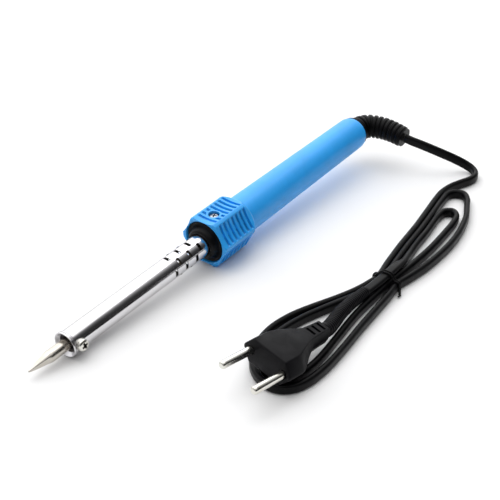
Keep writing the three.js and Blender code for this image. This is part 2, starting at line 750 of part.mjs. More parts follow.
function plugPin(lateral) {
  const pin = turned(
    [
      [-PIN_ROOT + GAP, 0],
      [-PIN_ROOT + GAP, PIN_R],
      [PIN_LENGTH - 1.2, PIN_R],
      [PIN_LENGTH - 0.3, PIN_R * 0.72],
      [PIN_LENGTH, PIN_R * 0.35],
      [PIN_LENGTH, 0],
    ],
    20,
  );
  return pin.translate(0, (lateral * PIN_SPACING) / 2, 0);
}

const PLUG_BOOT_ROUTE = [
  [26.48, 86.69, 9.1],
  [23.36, 86.93, 8.76],
  [18, 86, 8.55],
  [9.4, 84.2, 8.3],
  [0.2, 83.2, 7.9],
  [-7, 82.8, 7.4],
  [-13.6, 82.6, 7],
];
const PLUG_BOOT_R = 3.7;
const PLUG_BOOT_END_R = 2.9;

function plugBoot() {
  const radiusAt = (t) => THREE.MathUtils.lerp(PLUG_BOOT_R, PLUG_BOOT_END_R, t);
  return loft(vectors(PLUG_BOOT_ROUTE), radiusAt, 18, 10);
}

// ---------- assembly ----------
const root = new THREE.Group();

const iron = new THREE.Group();
iron.position.set(COLLAR_X, 0, AXIS_HEIGHT);
iron.rotation.y = LEAN;
root.add(iron);

node("tip", tip(), PLATED_TIP, iron);
node("nose_ferrule", noseFerrule(), POLISHED_STEEL, iron);
node("barrel_tube", barrelTube(), POLISHED_STEEL, iron);

// The clamp screw stands square to the barrel; its group's X axis points out of the nose.
const clamp = new THREE.Group();
clamp.position.set(SCREW_STATION, 0, 0);
clamp.quaternion.setFromUnitVectors(
  new THREE.Vector3(1, 0, 0),
  new THREE.Vector3(0, Math.sin(rad(SCREW_ANGLE)), Math.cos(rad(SCREW_ANGLE))),
);
iron.add(clamp);
const washerSeat = SCREW_SEAT_R + LOOSE;
const washerTop = washerSeat + WASHER_THICKNESS;
const washer = turned(tubeProfile(washerSeat, washerTop, SCREW_SHAFT_R + GAP, WASHER_R), 24);
node("clamp_washer", washer, NICKEL, clamp);
const headSeat = washerTop + LOOSE;
const screwReach = headSeat - TIP_R - GAP;
const clampScrew = node(
  "clamp_screw",
  panScrew(SCREW_HEAD_R, SCREW_HEAD_HEIGHT, SCREW_SHAFT_R, screwReach, 1.6, 0.75),
  NICKEL,
  clamp,
);
clampScrew.position.x = headSeat;

const heaterCore = turned(tubeProfile(CORE_REAR, CORE_FRONT, CORE_INNER_R, CORE_OUTER_R), 28);
node("heater_core", heaterCore, CERAMIC, iron);
node("heater_winding", heaterWinding(), RESISTANCE_WIRE, iron);
node("mica_wrap", micaWrap(), MICA, iron);
node("heater_end_cap", heaterEndCap(), CERAMIC, iron);
node("insulator", insulator(), BLACK_PLASTIC, iron);

for (const [name, angle] of [["barrel_screw_top", 0], ["barrel_screw_bottom", 180]]) {
  const screw = node(
    name,
    panScrew(
      BARREL_SCREW_HEAD_R,
      BARREL_SCREW_HEAD_HEIGHT,
      BARREL_SCREW_R,
      BARREL_SCREW_REACH,
      1.4,
      0.6,
    ),
    NICKEL,
    iron,
  );
  const outwards = new THREE.Vector3(0, Math.sin(rad(angle)), Math.cos(rad(angle)));
  screw.quaternion.setFromUnitVectors(new THREE.Vector3(1, 0, 0), outwards);
  screw.position.copy(outwards).multiplyScalar(BARREL_SCREW_SEAT + GAP);
  screw.position.x = WINDOW_STATION;
}

node("handle_shell", handleShell(), BLUE, iron);

for (const [number, side] of [[1, -1], [2, 1]]) {
  const y = side * LEAD_Y;
  const lead = turned(rodProfile(CRIMP_FRONT - 3.5, LEAD_FRONT, LEAD_R), 10).translate(0, y, 0);
  node("heater_lead_" + number, lead, RESISTANCE_WIRE, iron);
  const sleeve = turned(tubeProfile(SLEEVE_REAR, SLEEVE_FRONT, LEAD_HOLE_R, SLEEVE_R), 14);
  node("lead_sleeve_" + number, sleeve.translate(0, y, 0), GLASS_SLEEVE, iron);
  node("crimp_" + number, crimp(y), BRASS, iron);
  const core = run(
    [[SHEATH_FRONT + GAP, side * 1.25, 0], [-80, side * 1.5, 0], [-56, y, 0], [-40.5, y, 0]],
    roundSection(CORE_R, 8),
    12,
  );
  node("cord_core_" + number, core, number === 1 ? CORE_BROWN : CORE_BLUE, iron);
}

const innerCord = new THREE.ExtrudeGeometry(twinSection(), {
  depth: SHEATH_FRONT - SHEATH_REAR,
  bevelEnabled: false,
});
// the section's wide way lies across the iron and its depth along the axis
innerCord.rotateY(Math.PI / 2).translate(SHEATH_REAR, 0, 0);
node("inner_cord", innerCord, BLACK_RUBBER, iron);

const plateGap = CORD_THICKNESS / 2 + GAP;
const baseZ = -plateGap - CLAMP_BASE_THICKNESS / 2;
const plateZ = plateGap + CLAMP_PLATE_THICKNESS / 2;
node("cord_clamp_base", clampPlate(baseZ, CLAMP_BASE_THICKNESS), BLACK_PLASTIC, iron);
node("cord_clamp_plate", clampPlate(plateZ, CLAMP_PLATE_THICKNESS), BLACK_PLASTIC, iron);
for (const [number, side] of [[1, -1], [2, 1]]) {
  const screw = node(
    "cord_clamp_screw_" + number,
    panScrew(1.6, 0.9, CLAMP_SCREW_R, 6.2, 0.9, 0.4),
    BRASS,
    iron,
  );
  screw.quaternion.setFromUnitVectors(new THREE.Vector3(1, 0, 0), new THREE.Vector3(0, 0, 1));
  screw.position.set(CLAMP_X, side * CLAMP_SCREW_Y, plateGap + CLAMP_PLATE_THICKNESS + GAP);
}

const ringFront = HANDLE_REAR - GAP;
const ringRear = ringFront - REAR_RING_THICKNESS;
const rearRing = turned(tubeProfile(ringRear, ringFront, HANDLE_MOUTH_R, REAR_RING_R), 32);
node("rear_ring", rearRing, BLACK_PLASTIC, iron);

node("strain_relief", strainRelief(), BLACK_RUBBER, root);
node("cord_lead", run(LEAD_ROUTE, twinSection(), 22), BLACK_RUBBER, root);
node("cord_hank", cordHank(), BLACK_RUBBER, root);
node("twist_tie", twistTie(), BLACK_RUBBER, root);

const plug = new THREE.Group();
plug.position.set(...PLUG_FACE);
plug.rotation.set(rad(PLUG_ROLL), -rad(PLUG_PITCH), rad(PLUG_YAW), "ZYX");
root.add(plug);
node("plug_body", plugBody(), BLACK_RUBBER, plug);
node("plug_pin_1", plugPin(-1), NICKEL, plug);
node("plug_pin_2", plugPin(1), NICKEL, plug);
node("plug_boot", plugBoot(), BLACK_RUBBER, root);

export default root;
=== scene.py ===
"""Looks of the soldering iron.

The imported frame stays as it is; each piece that can be seen gets its fine surface here. Shapes are in
millimetres: the iron and the plug each have a frame of their own, and the lead, its two boots and the
tie are drawn in the row frame.
"""
import json
import math

import bmesh
import bpy
import numpy as np
from mathutils import Matrix, Vector


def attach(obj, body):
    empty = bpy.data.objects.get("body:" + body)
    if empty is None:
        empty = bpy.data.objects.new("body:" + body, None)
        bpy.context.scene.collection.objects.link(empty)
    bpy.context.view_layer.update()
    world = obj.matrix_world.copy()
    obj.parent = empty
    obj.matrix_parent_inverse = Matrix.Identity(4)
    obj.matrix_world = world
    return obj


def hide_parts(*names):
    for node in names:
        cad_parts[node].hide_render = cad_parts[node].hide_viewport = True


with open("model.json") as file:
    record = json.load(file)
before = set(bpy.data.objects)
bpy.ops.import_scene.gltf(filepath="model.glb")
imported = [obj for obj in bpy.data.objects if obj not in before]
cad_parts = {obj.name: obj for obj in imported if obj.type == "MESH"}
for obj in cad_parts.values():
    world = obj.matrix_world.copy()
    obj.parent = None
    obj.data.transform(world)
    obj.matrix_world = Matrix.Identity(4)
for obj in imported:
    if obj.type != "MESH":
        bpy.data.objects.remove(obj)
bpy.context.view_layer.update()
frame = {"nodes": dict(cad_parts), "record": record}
MM = 0.001

# ---------- the iron's own frame, with the same numbers as the part's source ----------
# Local X runs along the iron to the tip, with the collar's front face at x = 0 (millimetres).
RIDGE_R = 14.0
RIDGE_DROP = RIDGE_R * math.cos(math.radians(24))
FERRULE_RIM = 97.5
FERRULE_RIM_R = 6.6
LEAN = math.atan((RIDGE_DROP - FERRULE_RIM_R) / FERRULE_RIM)
AXIS_HEIGHT = RIDGE_DROP * math.cos(LEAN)
COLLAR_X = 6.71
IRON = Matrix.Translation((COLLAR_X, 0, AXIS_HEIGHT)) @ Matrix.Rotation(LEAN, 4, "Y")

# ---------- camera ----------
CAMERA_AT = (411.34, 346.39, 347.52)
CAMERA_RIGHT = (-0.617318, 0.786713, 0.000436)
CAMERA_UP = (-0.422578, -0.332056, 0.843307)
CAMERA_LENS = 91.3


def make_camera():
    data = bpy.data.cameras.new("camera")
    data.sensor_width = 36
    data.lens = CAMERA_LENS
    data.clip_start = 0.01
    camera = bpy.data.objects.new("camera", data)
    bpy.context.scene.collection.objects.link(camera)
    right = Vector(CAMERA_RIGHT).normalized()
    up = (Vector(CAMERA_UP) - right * right.dot(Vector(CAMERA_UP))).normalized()
    back = right.cross(up)
    turn = Matrix((right, up, back)).transposed().to_4x4()
    camera.matrix_world = Matrix.Translation(Vector(CAMERA_AT) * MM) @ turn
    bpy.context.scene.camera = camera


make_camera()
bpy.context.scene.view_settings.view_transform = "Standard"


# ---------- materials ----------
class Nodes:
    """A material's node tree, built with short calls."""

    def __init__(self, name):
        self.material = bpy.data.materials.new(name)
        self.material.use_nodes = True
        self.tree = self.material.node_tree
        self.shader = self.tree.nodes["Principled BSDF"]
        self.coords = self.tree.nodes.new("ShaderNodeTexCoord").outputs["Object"]

    def link(self, source, target):
        self.tree.links.new(source, target)
        return self

    def set(self, **values):
        for name, value in values.items():
            self.shader.inputs[name.replace("_", " ")].default_value = value
        return self

    def stretched(self, scale, rotation):
        """Object coordinates in metres, scaled along each axis."""
        mapping = self.tree.nodes.new("ShaderNodeMapping")
        mapping.inputs["Scale"].default_value = scale
        mapping.inputs["Rotation"].default_value = rotation
        self.link(self.coords, mapping.inputs["Vector"])
        return mapping.outputs["Vector"]

    def noise(self, scale, detail=3.0, roughness=0.55, vector=None, distortion=0.0):
        texture = self.tree.nodes.new("ShaderNodeTexNoise")
        texture.inputs["Scale"].default_value = scale
        texture.inputs["Detail"].default_value = detail
        texture.inputs["Roughness"].default_value = roughness
        texture.inputs["Distortion"].default_value = distortion
        self.link(vector or self.coords, texture.inputs["Vector"])
        return texture.outputs["Fac"]

    def ranged(self, source, low, high, start=0.3, stop=0.7):
        node = self.tree.nodes.new("ShaderNodeMapRange")
        node.inputs["From Min"].default_value = start
        node.inputs["From Max"].default_value = stop
        node.inputs["To Min"].default_value = low
        node.inputs["To Max"].default_value = high
        self.link(source, node.inputs["Value"])
        return node.outputs["Result"]

    def ramp(self, source, stops):
        node = self.tree.nodes.new("ShaderNodeValToRGB")
        elements = node.color_ramp.elements
        while len(elements) < len(stops):
            elements.new(0.5)
        for element, (place, colour) in zip(elements, stops):
            element.position = place
            element.color = (*colour, 1)
        self.link(source, node.inputs["Fac"])
        return node.outputs["Color"]

    def times(self, a, b):
        node = self.tree.nodes.new("ShaderNodeMath")
        node.operation = "MULTIPLY"
        self.link(a, node.inputs[0])
        self.link(b, node.inputs[1])
        return node.outputs["Value"]

    def bump(self, height, strength, distance):
        node = self.tree.nodes.new("ShaderNodeBump")
        node.inputs["Strength"].default_value = strength
        node.inputs["Distance"].default_value = distance
        self.link(height, node.inputs["Height"])
        self.link(node.outputs["Normal"], self.shader.inputs["Normal"])
        return self

    def colour(self, source):
        return self.link(source, self.shader.inputs["Base Color"])

    def roughness(self, source):
        return self.link(source, self.shader.inputs["Roughness"])


def shade(colour, factor):
    return tuple(min(1.0, c * factor) for c in colour)


def moulded(name, base, rough, grain=2600, depth=0.00003, coat=0.0, spread=0.1, gloss=0.5):
    """Moulded plastic: slow flow marks in the colour, a fine spark-eroded grain and uneven gloss."""
    n = Nodes(name)
    flow = n.noise(60, 3, 0.6, distortion=0.4)
    n.colour(n.ramp(flow, [(0.3, shade(base, 1 - spread)), (0.7, shade(base, 1 + spread))]))
    grained = n.noise(grain, 3, 0.6)
    n.roughness(n.ranged(n.noise(240, 4, 0.65), rough - 0.05, rough + 0.07))
    n.bump(grained, 0.25, depth)
    n.set(Coat_Weight=coat, Coat_Roughness=0.2, IOR=1.5, Specular_IOR_Level=gloss)
    return n.material


def polished(name, base, rough, scratch=0.04, axis_scale=(60, 900, 900), tint=None):
    """Bright metal: fine lengthwise polishing lines, faint cloudy smears and a little uneven gloss."""
    n = Nodes(name)
    n.set(Metallic=1.0)
    cloud = n.noise(45, 4, 0.6)
    stops = [(0.25, shade(base, 0.93)), (0.75, shade(base, 1.03))]
    if tint:
        stops = [(0.2, shade(tint, 0.97)), (0.5, base), (0.8, shade(base, 1.03))]
    n.colour(n.ramp(cloud, stops))
    lines = n.noise(6, 4, 0.7, n.stretched(axis_scale, (0, -LEAN, 0)))
    mottled = n.times(n.ranged(cloud, 0.75, 1.25), n.ranged(lines, rough - scratch, rough + scratch))
    n.roughness(mottled)
    n.bump(lines, 0.08, 0.00001)
    return n.material


def rubber(name, base, rough, dust, gloss):
    """Soft black PVC: matt, with fine pitting, rubbed patches and a trace of pale dust."""
    n = Nodes(name)
    pits = n.noise(1900, 3, 0.7)
    rubbed = n.noise(140, 4, 0.6, distortion=0.6)
    pale = shade(base, 1 + dust)
    n.colour(n.ramp(rubbed, [(0.32, shade(base, 0.85)), (0.6, base), (0.8, pale)]))
    n.roughness(n.ranged(rubbed, rough + 0.08, rough - 0.1))
    n.bump(pits, 0.35, 0.00004)
    n.set(IOR=1.5, Specular_IOR_Level=gloss)
    return n.material


BLUE = (0.023, 0.385, 0.95)
FINE = (300, 300, 300)
MATERIALS = {
    "blue_plastic": moulded("blue_plastic", BLUE, 0.36, spread=0.06),
    # painted shade: a darker copy of the handle's blue, laid on the groove floors in place of the shade
    # that falls in them
    "blue_painted_groove_shade": moulded("blue_painted_groove_shade", shade(BLUE, 0.66), 0.36, spread=0.06),
    "black_plastic": moulded("black_plastic", (0.003, 0.003, 0.0035), 0.42, spread=0.25, gloss=0.12),
    "cord_rubber": rubber("cord_rubber", (0.0024, 0.0024, 0.0029), 0.36, 0.35, gloss=0.11),
    "plug_plastic": rubber("plug_plastic", (0.0034, 0.0033, 0.0045), 0.48, 0.25, gloss=0.12),
    "polished_steel": polished("polished_steel", (0.69, 0.68, 0.695), 0.13),
    "plated_tip": polished(
        "plated_tip", (0.56, 0.53, 0.48), 0.24, 0.08, (200, 500, 500), (0.46, 0.42, 0.36)
    ),
    "zinc": polished("zinc", (0.40, 0.43, 0.47), 0.34, 0.08, FINE, (0.33, 0.36, 0.40)),
    "nickel": polished("nickel", (0.74, 0.73, 0.68), 0.2, 0.07, FINE, (0.70, 0.66, 0.56)),
    "resistance_wire": polished(
        "resistance_wire", (0.30, 0.28, 0.26), 0.4, 0.1, (400, 400, 400), (0.22, 0.18, 0.2)
    ),
    "burnt_steel": polished("burnt_steel", (0.035, 0.03, 0.028), 0.5, 0.1, FINE, (0.02, 0.018, 0.02)),
    "brass": polished("brass", (0.70, 0.50, 0.20), 0.28, 0.08, FINE, (0.52, 0.34, 0.12)),
    "ceramic": moulded("ceramic", (0.74, 0.69, 0.60), 0.75, grain=1800, depth=0.00004, spread=0.08),
    "mica": moulded("mica", (0.36, 0.27, 0.14), 0.4, grain=900, depth=0.00005, coat=0.2, spread=0.3),
    "glass_sleeve": moulded(
        "glass_sleeve", (0.14, 0.12, 0.09), 0.8, grain=3200, depth=0.0001, spread=0.06
    ),
    "core_brown": moulded(
        "core_brown", (0.10, 0.03, 0.012), 0.35, grain=2200, depth=0.00002, coat=0.1, spread=0.08
    ),
    "core_blue": moulded(
        "core_blue", (0.012, 0.08, 0.40), 0.35, grain=2200, depth=0.00002, coat=0.1, spread=0.08
    ),
}


def dress(obj, slot):
    obj.data.materials.clear()
    obj.data.materials.append(MATERIALS[slot])


# ---------- mesh helpers (local millimetres in, row-frame metres out) ----------
def add_piece(name, points, faces, slot, body, replaces, matrix=None, sharp=35):
    """One fine piece, moving with its body in place of the CAD nodes that it replaces."""
    mesh = bpy.data.meshes.new(name)
    matrix = matrix or Matrix.Identity(4)
    mesh.from_pydata([(matrix @ Vector(p)) * MM for p in points], [], faces)
    mesh.update()
    obj = bpy.data.objects.new(name, mesh)
    bpy.context.scene.collection.objects.link(obj)
    tidy_mesh(obj, sharp)
    dress(obj, slot)
    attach(obj, body)
    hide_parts(*replaces)
    return obj


def tidy_mesh(obj, sharp):
    """Faces out, doubles gone, smooth shading with edges above the given angle kept crisp."""
    bm = bmesh.new()
    bm.from_mesh(obj.data)
    bmesh.ops.remove_doubles(bm, verts=bm.verts, dist=1e-7)
    bmesh.ops.recalc_face_normals(bm, faces=bm.faces)
    for face in bm.faces:
        face.smooth = True
    for edge in bm.edges:
        if len(edge.link_faces) == 2:
            edge.smooth = edge.calc_face_angle(0) < math.radians(sharp)
    bm.to_mesh(obj.data)
    bm.free()


def second_slot(obj, slot, wanted):
    """Gives the faces whose middle (in the iron's own frame, millimetres) is wanted another finish."""
    obj.data.materials.append(MATERIALS[slot])
    back = IRON.inverted()
    for polygon in obj.data.polygons:
        if wanted(back @ (Vector(polygon.center) / MM)):
            polygon.material_index = 1


def apply_modifiers(obj):
    bpy.context.view_layer.update()
    evaluated = obj.evaluated_get(bpy.context.evaluated_depsgraph_get())
    mesh = bpy.data.meshes.new_from_object(evaluated)
    old = obj.data
    obj.modifiers.clear()
    obj.data = mesh
    bpy.data.meshes.remove(old)


def grid_faces(rings, around, closed_rings=False):
    faces = []
    for i in range(rings if closed_rings else rings - 1):
        below, above = i * around, ((i + 1) % rings) * around
        for j in range(around):
            k = (j + 1) % around
            faces.append((below + j, below + k, above + k, above + j))
    return faces


def close_ends(points, faces, around, middles):
    """Fans of triangles over the first and the last ring."""
    top = len(points) - around
    points += middles
    first, last = len(points) - 2, len(points) - 1
    for j in range(around):
        k = (j + 1) % around
        faces.append((first, k, j))
        faces.append((last, top + j, top + k))


def turned(profile, around):
    """Points and faces of a body of revolution about X; a profile that ends on the axis closes there."""
    points, faces = [], []
    on_axis = profile[0][1] == 0 and profile[-1][1] == 0
    body = profile[1:-1] if on_axis else profile
    for x, r in body:
        for j in range(around):
            a = 2 * math.pi * j / around
            points.append((x, r * math.sin(a), r * math.cos(a)))
    faces = grid_faces(len(body), around, closed_rings=not on_axis)
    if on_axis:
        close_ends(points, faces, around, [(profile[0][0], 0, 0), (profile[-1][0], 0, 0)])
    return points, faces


def rod(start, stop, radius, around):
    """Points and faces of a plain cylinder along X."""
    return turned([(start, 0), (start, radius), (stop, radius), (stop, 0)], around)


def rounded(profile, radius, steps=3):
    """The same profile with each inner corner turned into a small arc."""
    result = [profile[0]]
    for before, here, after in zip(profile, profile[1:], profile[2:]):
        a, b, c = Vector(before), Vector(here), Vector(after)
        if (a - b).length < 1e-6 or (c - b).length < 1e-6:
            result.append(here)
            continue
        inset = min(radius, (a - b).length * 0.45, (c - b).length * 0.45)
        start = b + (a - b).normalized() * inset
        stop = b + (c - b).normalized() * inset
        for i in range(steps + 1):
            t = i / steps
            result.append(tuple((1 - t) ** 2 * start + 2 * t * (1 - t) * b + t * t * stop))
    result.append(profile[-1])
    return result


def cutter(points, faces, matrix):
    """A solid for one boolean; cut() removes it."""
    mesh = bpy.data.meshes.new("cutter")
    mesh.from_pydata([(matrix @ Vector(p)) * MM for p in points], [], faces)
    obj = bpy.data.objects.new("cutter", mesh)
    bpy.context.scene.collection.objects.link(obj)
    bm = bmesh.new()
    bm.from_mesh(mesh)
    bmesh.ops.recalc_face_normals(bm, faces=bm.faces)
    bm.to_mesh(mesh)
    bm.free()
    return obj


def cut(obj, tool, sharp=35):
    modifier = obj.modifiers.new("cut", "BOOLEAN")
    modifier.operation = "DIFFERENCE"
    modifier.solver = "EXACT"
    modifier.object = tool
    apply_modifiers(obj)
    bpy.data.objects.remove(tool)
    tidy_mesh(obj, sharp)


def boxes(places):
    """Points and faces of many boxes: each place is (matrix, size along X, Y and Z)."""
    points, faces = [], []
    for matrix, (sx, sy, sz) in places:
        first = len(points)
        for dx in (-0.5, 0.5):
            for dy in (-0.5, 0.5):
                for dz in (-0.5, 0.5):
                    points.append(tuple(matrix @ Vector((dx * sx, dy * sy, dz * sz))))
        for quad in ((0, 1, 3, 2), (4, 6, 7, 5), (0, 4, 5, 1), (2, 3, 7, 6), (0, 2, 6, 4), (1, 5, 7, 3)):
            faces.append(tuple(first + q for q in quad))
    return points, faces


def about_x(degrees):
    """Turns the top (+Z) towards +Y by that angle."""
    return Matrix.Rotation(-math.radians(degrees), 4, "X")


def outward(angle, station, lift):
    """A frame on the iron whose X points out of its axis at that angle, lifted that far from it."""
    turn = about_x(angle) @ Matrix.Rotation(-math.pi / 2, 4, "Y")
    return IRON @ Matrix.Translation((station, 0, 0)) @ turn @ Matrix.Translation((lift, 0, 0))


def spline(points, step):
    """Catmull-Rom through the points (centripetal), sampled about every step; extra columns ride along."""
    p = np.array(points, float)
    p = np.vstack([2 * p[0] - p[1], p, 2 * p[-1] - p[-2]])
    out = []
    for i in range(1, len(p) - 2):
        a, b, c, d = p[i - 1], p[i], p[i + 1], p[i + 2]
        length = np.linalg.norm((c - b)[:3])
        count = max(2, int(round(length / step)))
        t0 = 0.0
        t1 = t0 + math.sqrt(max(np.linalg.norm((b - a)[:3]), 1e-6))
        t2 = t1 + math.sqrt(max(length, 1e-6))
        t3 = t2 + math.sqrt(max(np.linalg.norm((d - c)[:3]), 1e-6))
        for k in range(count):
            t = t1 + (t2 - t1) * k / count
            a1 = (t1 - t) / (t1 - t0) * a + (t - t0) / (t1 - t0) * b
            a2 = (t2 - t) / (t2 - t1) * b + (t - t1) / (t2 - t1) * c
            a3 = (t3 - t) / (t3 - t2) * c + (t - t2) / (t3 - t2) * d
            b1 = (t2 - t) / (t2 - t0) * a1 + (t - t0) / (t2 - t0) * a2
            b2 = (t3 - t) / (t3 - t1) * a2 + (t - t1) / (t3 - t1) * a3
            out.append((t2 - t) / (t2 - t1) * b1 + (t - t1) / (t2 - t1) * b2)
    out.append(p[-2])
    return np.array(out)


def swept(path, section_at, wide_at=lambda i: (0, 0, 1)):
    """Sweeps a section (a list of (thin, wide) offsets) along a path; the wide way follows wide_at."""
    path = np.asarray(path, float)
    count = len(path)
    tangents = np.gradient(path, axis=0)
    tangents /= np.linalg.norm(tangents, axis=1)[:, None]
    points = []
    around = len(section_at(0))
    for i in range(count):
        wide = np.array(wide_at(i), float)
        wide -= tangents[i] * wide.dot(tangents[i])
        wide /= np.linalg.norm(wide)
        thin = np.cross(wide, tangents[i])
        for a, b in section_at(i):
            points.append(tuple(path[i] + thin * a + wide * b))
    faces = grid_faces(count, around)
    close_ends(points, faces, around, [tuple(path[0]), tuple(path[-1])])
    return points, faces


def step(value, edge, soft):
    """Eases from 0 to 1 as value passes the edge, over the width soft."""
    t = min(1.0, max(0.0, (value - edge) / soft + 0.5))
    return t * t * (3 - 2 * t)


def ring_section(radius, around):
    steps = [2 * math.pi * j / around for j in range(around)]
    return [(radius * math.cos(a), radius * math.sin(a)) for a in steps]


# ---------- tip and nose ----------
TIP_REAR = 60
TIP_R = 2.95
TIP_POINT = 120
TIP_FACES = 4
TIP_FACE_TURN = math.radians(38)
FACE_START = 108.4
FACE_STOP = 118.8
BARREL_R = 6.0
BARREL_WALL = 0.5
FERRULE_REAR = 80
FERRULE_BORE_R = TIP_R + 0.35
FLANGE_REAR = 95.6
SCREW_STATION = 93.2
SCREW_ANGLE = 84
CLAMP_SEAT_R = 3.25
CLAMP_HOLE_R = 1.8
WASHER_R = 2.95
WASHER_THICKNESS = 0.5


def make_tip():
    """A round shank and a slim point with four softly ground faces."""
    profile = [
        (TIP_REAR, 0), (TIP_REAR, 2.45), (TIP_REAR + 0.5, TIP_R), (104, TIP_R), (107.2, TIP_R),
        (107.6, TIP_R - 0.05), (108.6, TIP_R - 0.32), (110, 2.32), (113, 1.83), (116, 1.26), (118.4, 0.76),
        (119.2, 0.58), (119.7, 0.38), (119.93, 0.18), (TIP_POINT, 0),
    ]
    points, faces = turned(profile, 96)
    shaped = []
    corner = 0.86
    for x, y, z in points:
        r, a = math.hypot(y, z), math.atan2(y, z)
        ground = step(x, FACE_START, 1.4) * (1 - step(x, FACE_STOP, 1.6))
        off = (a - TIP_FACE_TURN) % (2 * math.pi / TIP_FACES) - math.pi / TIP_FACES
        r *= 1 - 0.8 * ground * (1 - corner / max(corner, math.cos(off)))
        shaped.append((x, r * math.sin(a), r * math.cos(a)))
    add_piece("tip_fine", shaped, faces, "plated_tip", "tip", ["tip"], IRON, sharp=50)


def make_ferrule():
    """A bush in the barrel's front with a grooved flange, cupped round the tip."""
    rim, rear, spigot = FERRULE_RIM, FERRULE_REAR, BARREL_R - BARREL_WALL - 0.3
    profile = [
        (rear, FERRULE_BORE_R), (rear, spigot), (FLANGE_REAR, spigot), (FLANGE_REAR, 6.2),
        (FLANGE_REAR + 0.25, 6.45), (FLANGE_REAR + 0.8, 6.5), (FLANGE_REAR + 0.85, 6.1), (rim - 0.85, 6.1),
        (rim - 0.8, 6.55), (rim - 0.3, FERRULE_RIM_R), (rim, 6.5), (rim, 6.05), (rim - 0.25, 5.85),
        (rim - 1.8, 4.6), (rim - 2.3, FERRULE_BORE_R), (rear, FERRULE_BORE_R),
    ]
    points, faces = turned(rounded(profile, 0.08)[:-1], 128)
    obj = add_piece("nose_ferrule_fine", points, faces, "polished_steel", "iron", ["nose_ferrule"], IRON)
    seat = rod(0, 4, CLAMP_SEAT_R, 48)
    cut(obj, cutter(*seat, outward(SCREW_ANGLE, SCREW_STATION, BARREL_R)))
    cut(obj, clamp_hole())

    def in_bore(c):
        return math.hypot(c.y, c.z) < 4.8 or c.x < FLANGE_REAR - 0.01

    second_slot(obj, "burnt_steel", in_bore)


def clamp_hole():
    """The clamp screw's hole through the ferrule and the barrel."""
    return cutter(*rod(-3.1, 2, CLAMP_HOLE_R, 32), outward(SCREW_ANGLE, SCREW_STATION, BARREL_R))


THREAD_PITCH = 0.5
RIM_SHARE = 0.42
RECESS_TURN = 18


def screw(node, body, matrix, head_r, head_h, shaft_r, shaft_l, recess):
    """A pan-head screw, X outwards and the seat at x = 0; recess is its reach and width over head_r."""
    profile = [(-shaft_l, 0), (-shaft_l, shaft_r * 0.8), (-shaft_l + 0.3, shaft_r)]
    for i in range(int(shaft_l / THREAD_PITCH) - 1):
        x = -shaft_l + 0.45 + i * THREAD_PITCH
        profile += [(x, shaft_r), (x + 0.2, shaft_r - 0.16), (x + 0.3, shaft_r - 0.16)]
    profile += [(-0.05, shaft_r), (0, head_r * 0.96), (0.12, head_r), (head_h * RIM_SHARE, head_r)]
    for i in range(1, 9):
        a = i / 9 * math.pi / 2
        x = head_h * (RIM_SHARE + (1 - RIM_SHARE) * math.sin(a))
        profile.append((x, head_r * math.cos(a) ** 0.62))
    profile.append((head_h, 0))
    points, faces = turned(profile, 56)
    obj = add_piece(node + "_fine", points, faces, "nickel", body, [node], matrix, sharp=40)
    length, width = head_r * recess[0] * 2, head_r * recess[1]
    depth = head_h * 0.7
    for turn in (RECESS_TURN, RECESS_TURN + 90):
        lift = Matrix.Translation((head_h - depth / 2 + 0.2, 0, 0))
        lift = lift @ Matrix.Rotation(math.radians(turn), 4, "X")
        cut(obj, cutter(*boxes([(lift, (depth + 0.4, length, width))]), matrix), 40)
    back = matrix.inverted() @ IRON

    def in_recess_painted_shade(c):
        c = back @ c
        r = math.hypot(c.y, c.z)
        rise = max(0.0, 1 - min(1.0, r / head_r) ** 3.2) ** 0.5
        dome = head_h * (RIM_SHARE + (1 - RIM_SHARE) * rise)
        return 0 < c.x < dome - 0.1 and r < length * 0.52

    # painted shade: the cross recess gets the near-black steel material, a dark fill standing in for the
    # shade inside it
    second_slot(obj, "burnt_steel", in_recess_painted_shade)
    return obj


def make_clamp():
    """The washer in its seat on the nose, and the clamp screw over it."""
    seat = BARREL_R + 0.25
    top = seat + WASHER_THICKNESS
    matrix = outward(SCREW_ANGLE, SCREW_STATION, 0)
    corners = [(seat, CLAMP_HOLE_R), (seat, WASHER_R), (top, WASHER_R), (top, CLAMP_HOLE_R)]
    profile = rounded(corners, 0.1)
    points, faces = turned(profile[1:-1] + [profile[-1], profile[0]], 56)
    add_piece("clamp_washer_fine", points, faces, "nickel", "clamp_washer", ["clamp_washer"], matrix)
    head = top + 0.25
    screw(
        "clamp_screw", "clamp_screw", outward(SCREW_ANGLE, SCREW_STATION, head), head_r=2.9, head_h=1.9,
        shaft_r=1.5, shaft_l=head - TIP_R - 0.3, recess=(0.58, 0.4),
    )


# ---------- barrel ----------
BARREL_REAR = -15.0
VENT_FIRST = 27.2
VENT_PITCH = 7.56
VENTS_IN_ROW = 3
VENT_ROWS = 8
VENT_LENGTH = 1.8
VENT_CELLS = 10
VENT_CORNER = 0.3
BARREL_CELLS = 192


def barrel_stations():
    """Where the barrel's rings of cells meet: at both ends of every vent and of its corners."""
    front, rear = FLANGE_REAR - 0.3, BARREL_REAR
    stations = {rear, rear + 0.12, front - 0.12, front}
    stations.update(np.linspace(rear + 1, front - 6, 40).tolist())
    stations.update(np.linspace(front - 5.5, front - 0.5, 16).tolist())
    for row in (0, 1):
        for i in range(VENTS_IN_ROW):
            x = VENT_FIRST - (i + row / 2) * VENT_PITCH
            for edge in (-VENT_LENGTH / 2, VENT_CORNER - VENT_LENGTH / 2):
                stations.update((x + edge, x - edge))
    return sorted(stations)


def in_vent(x, cell):
    """Whether a cell of the barrel's wall, with its middle at x, is open."""
    row = round(cell / (BARREL_CELLS / VENT_ROWS)) % VENT_ROWS
    off = abs(cell + 0.5 - row * BARREL_CELLS / VENT_ROWS)
    off = min(off, BARREL_CELLS - off)
    for i in range(VENTS_IN_ROW):
        away = abs(x - VENT_FIRST + (i + (row % 2) / 2) * VENT_PITCH)
        if away < VENT_LENGTH / 2 and off < VENT_CELLS:
            return away < VENT_LENGTH / 2 - VENT_CORNER or off < VENT_CELLS - 1
    return False


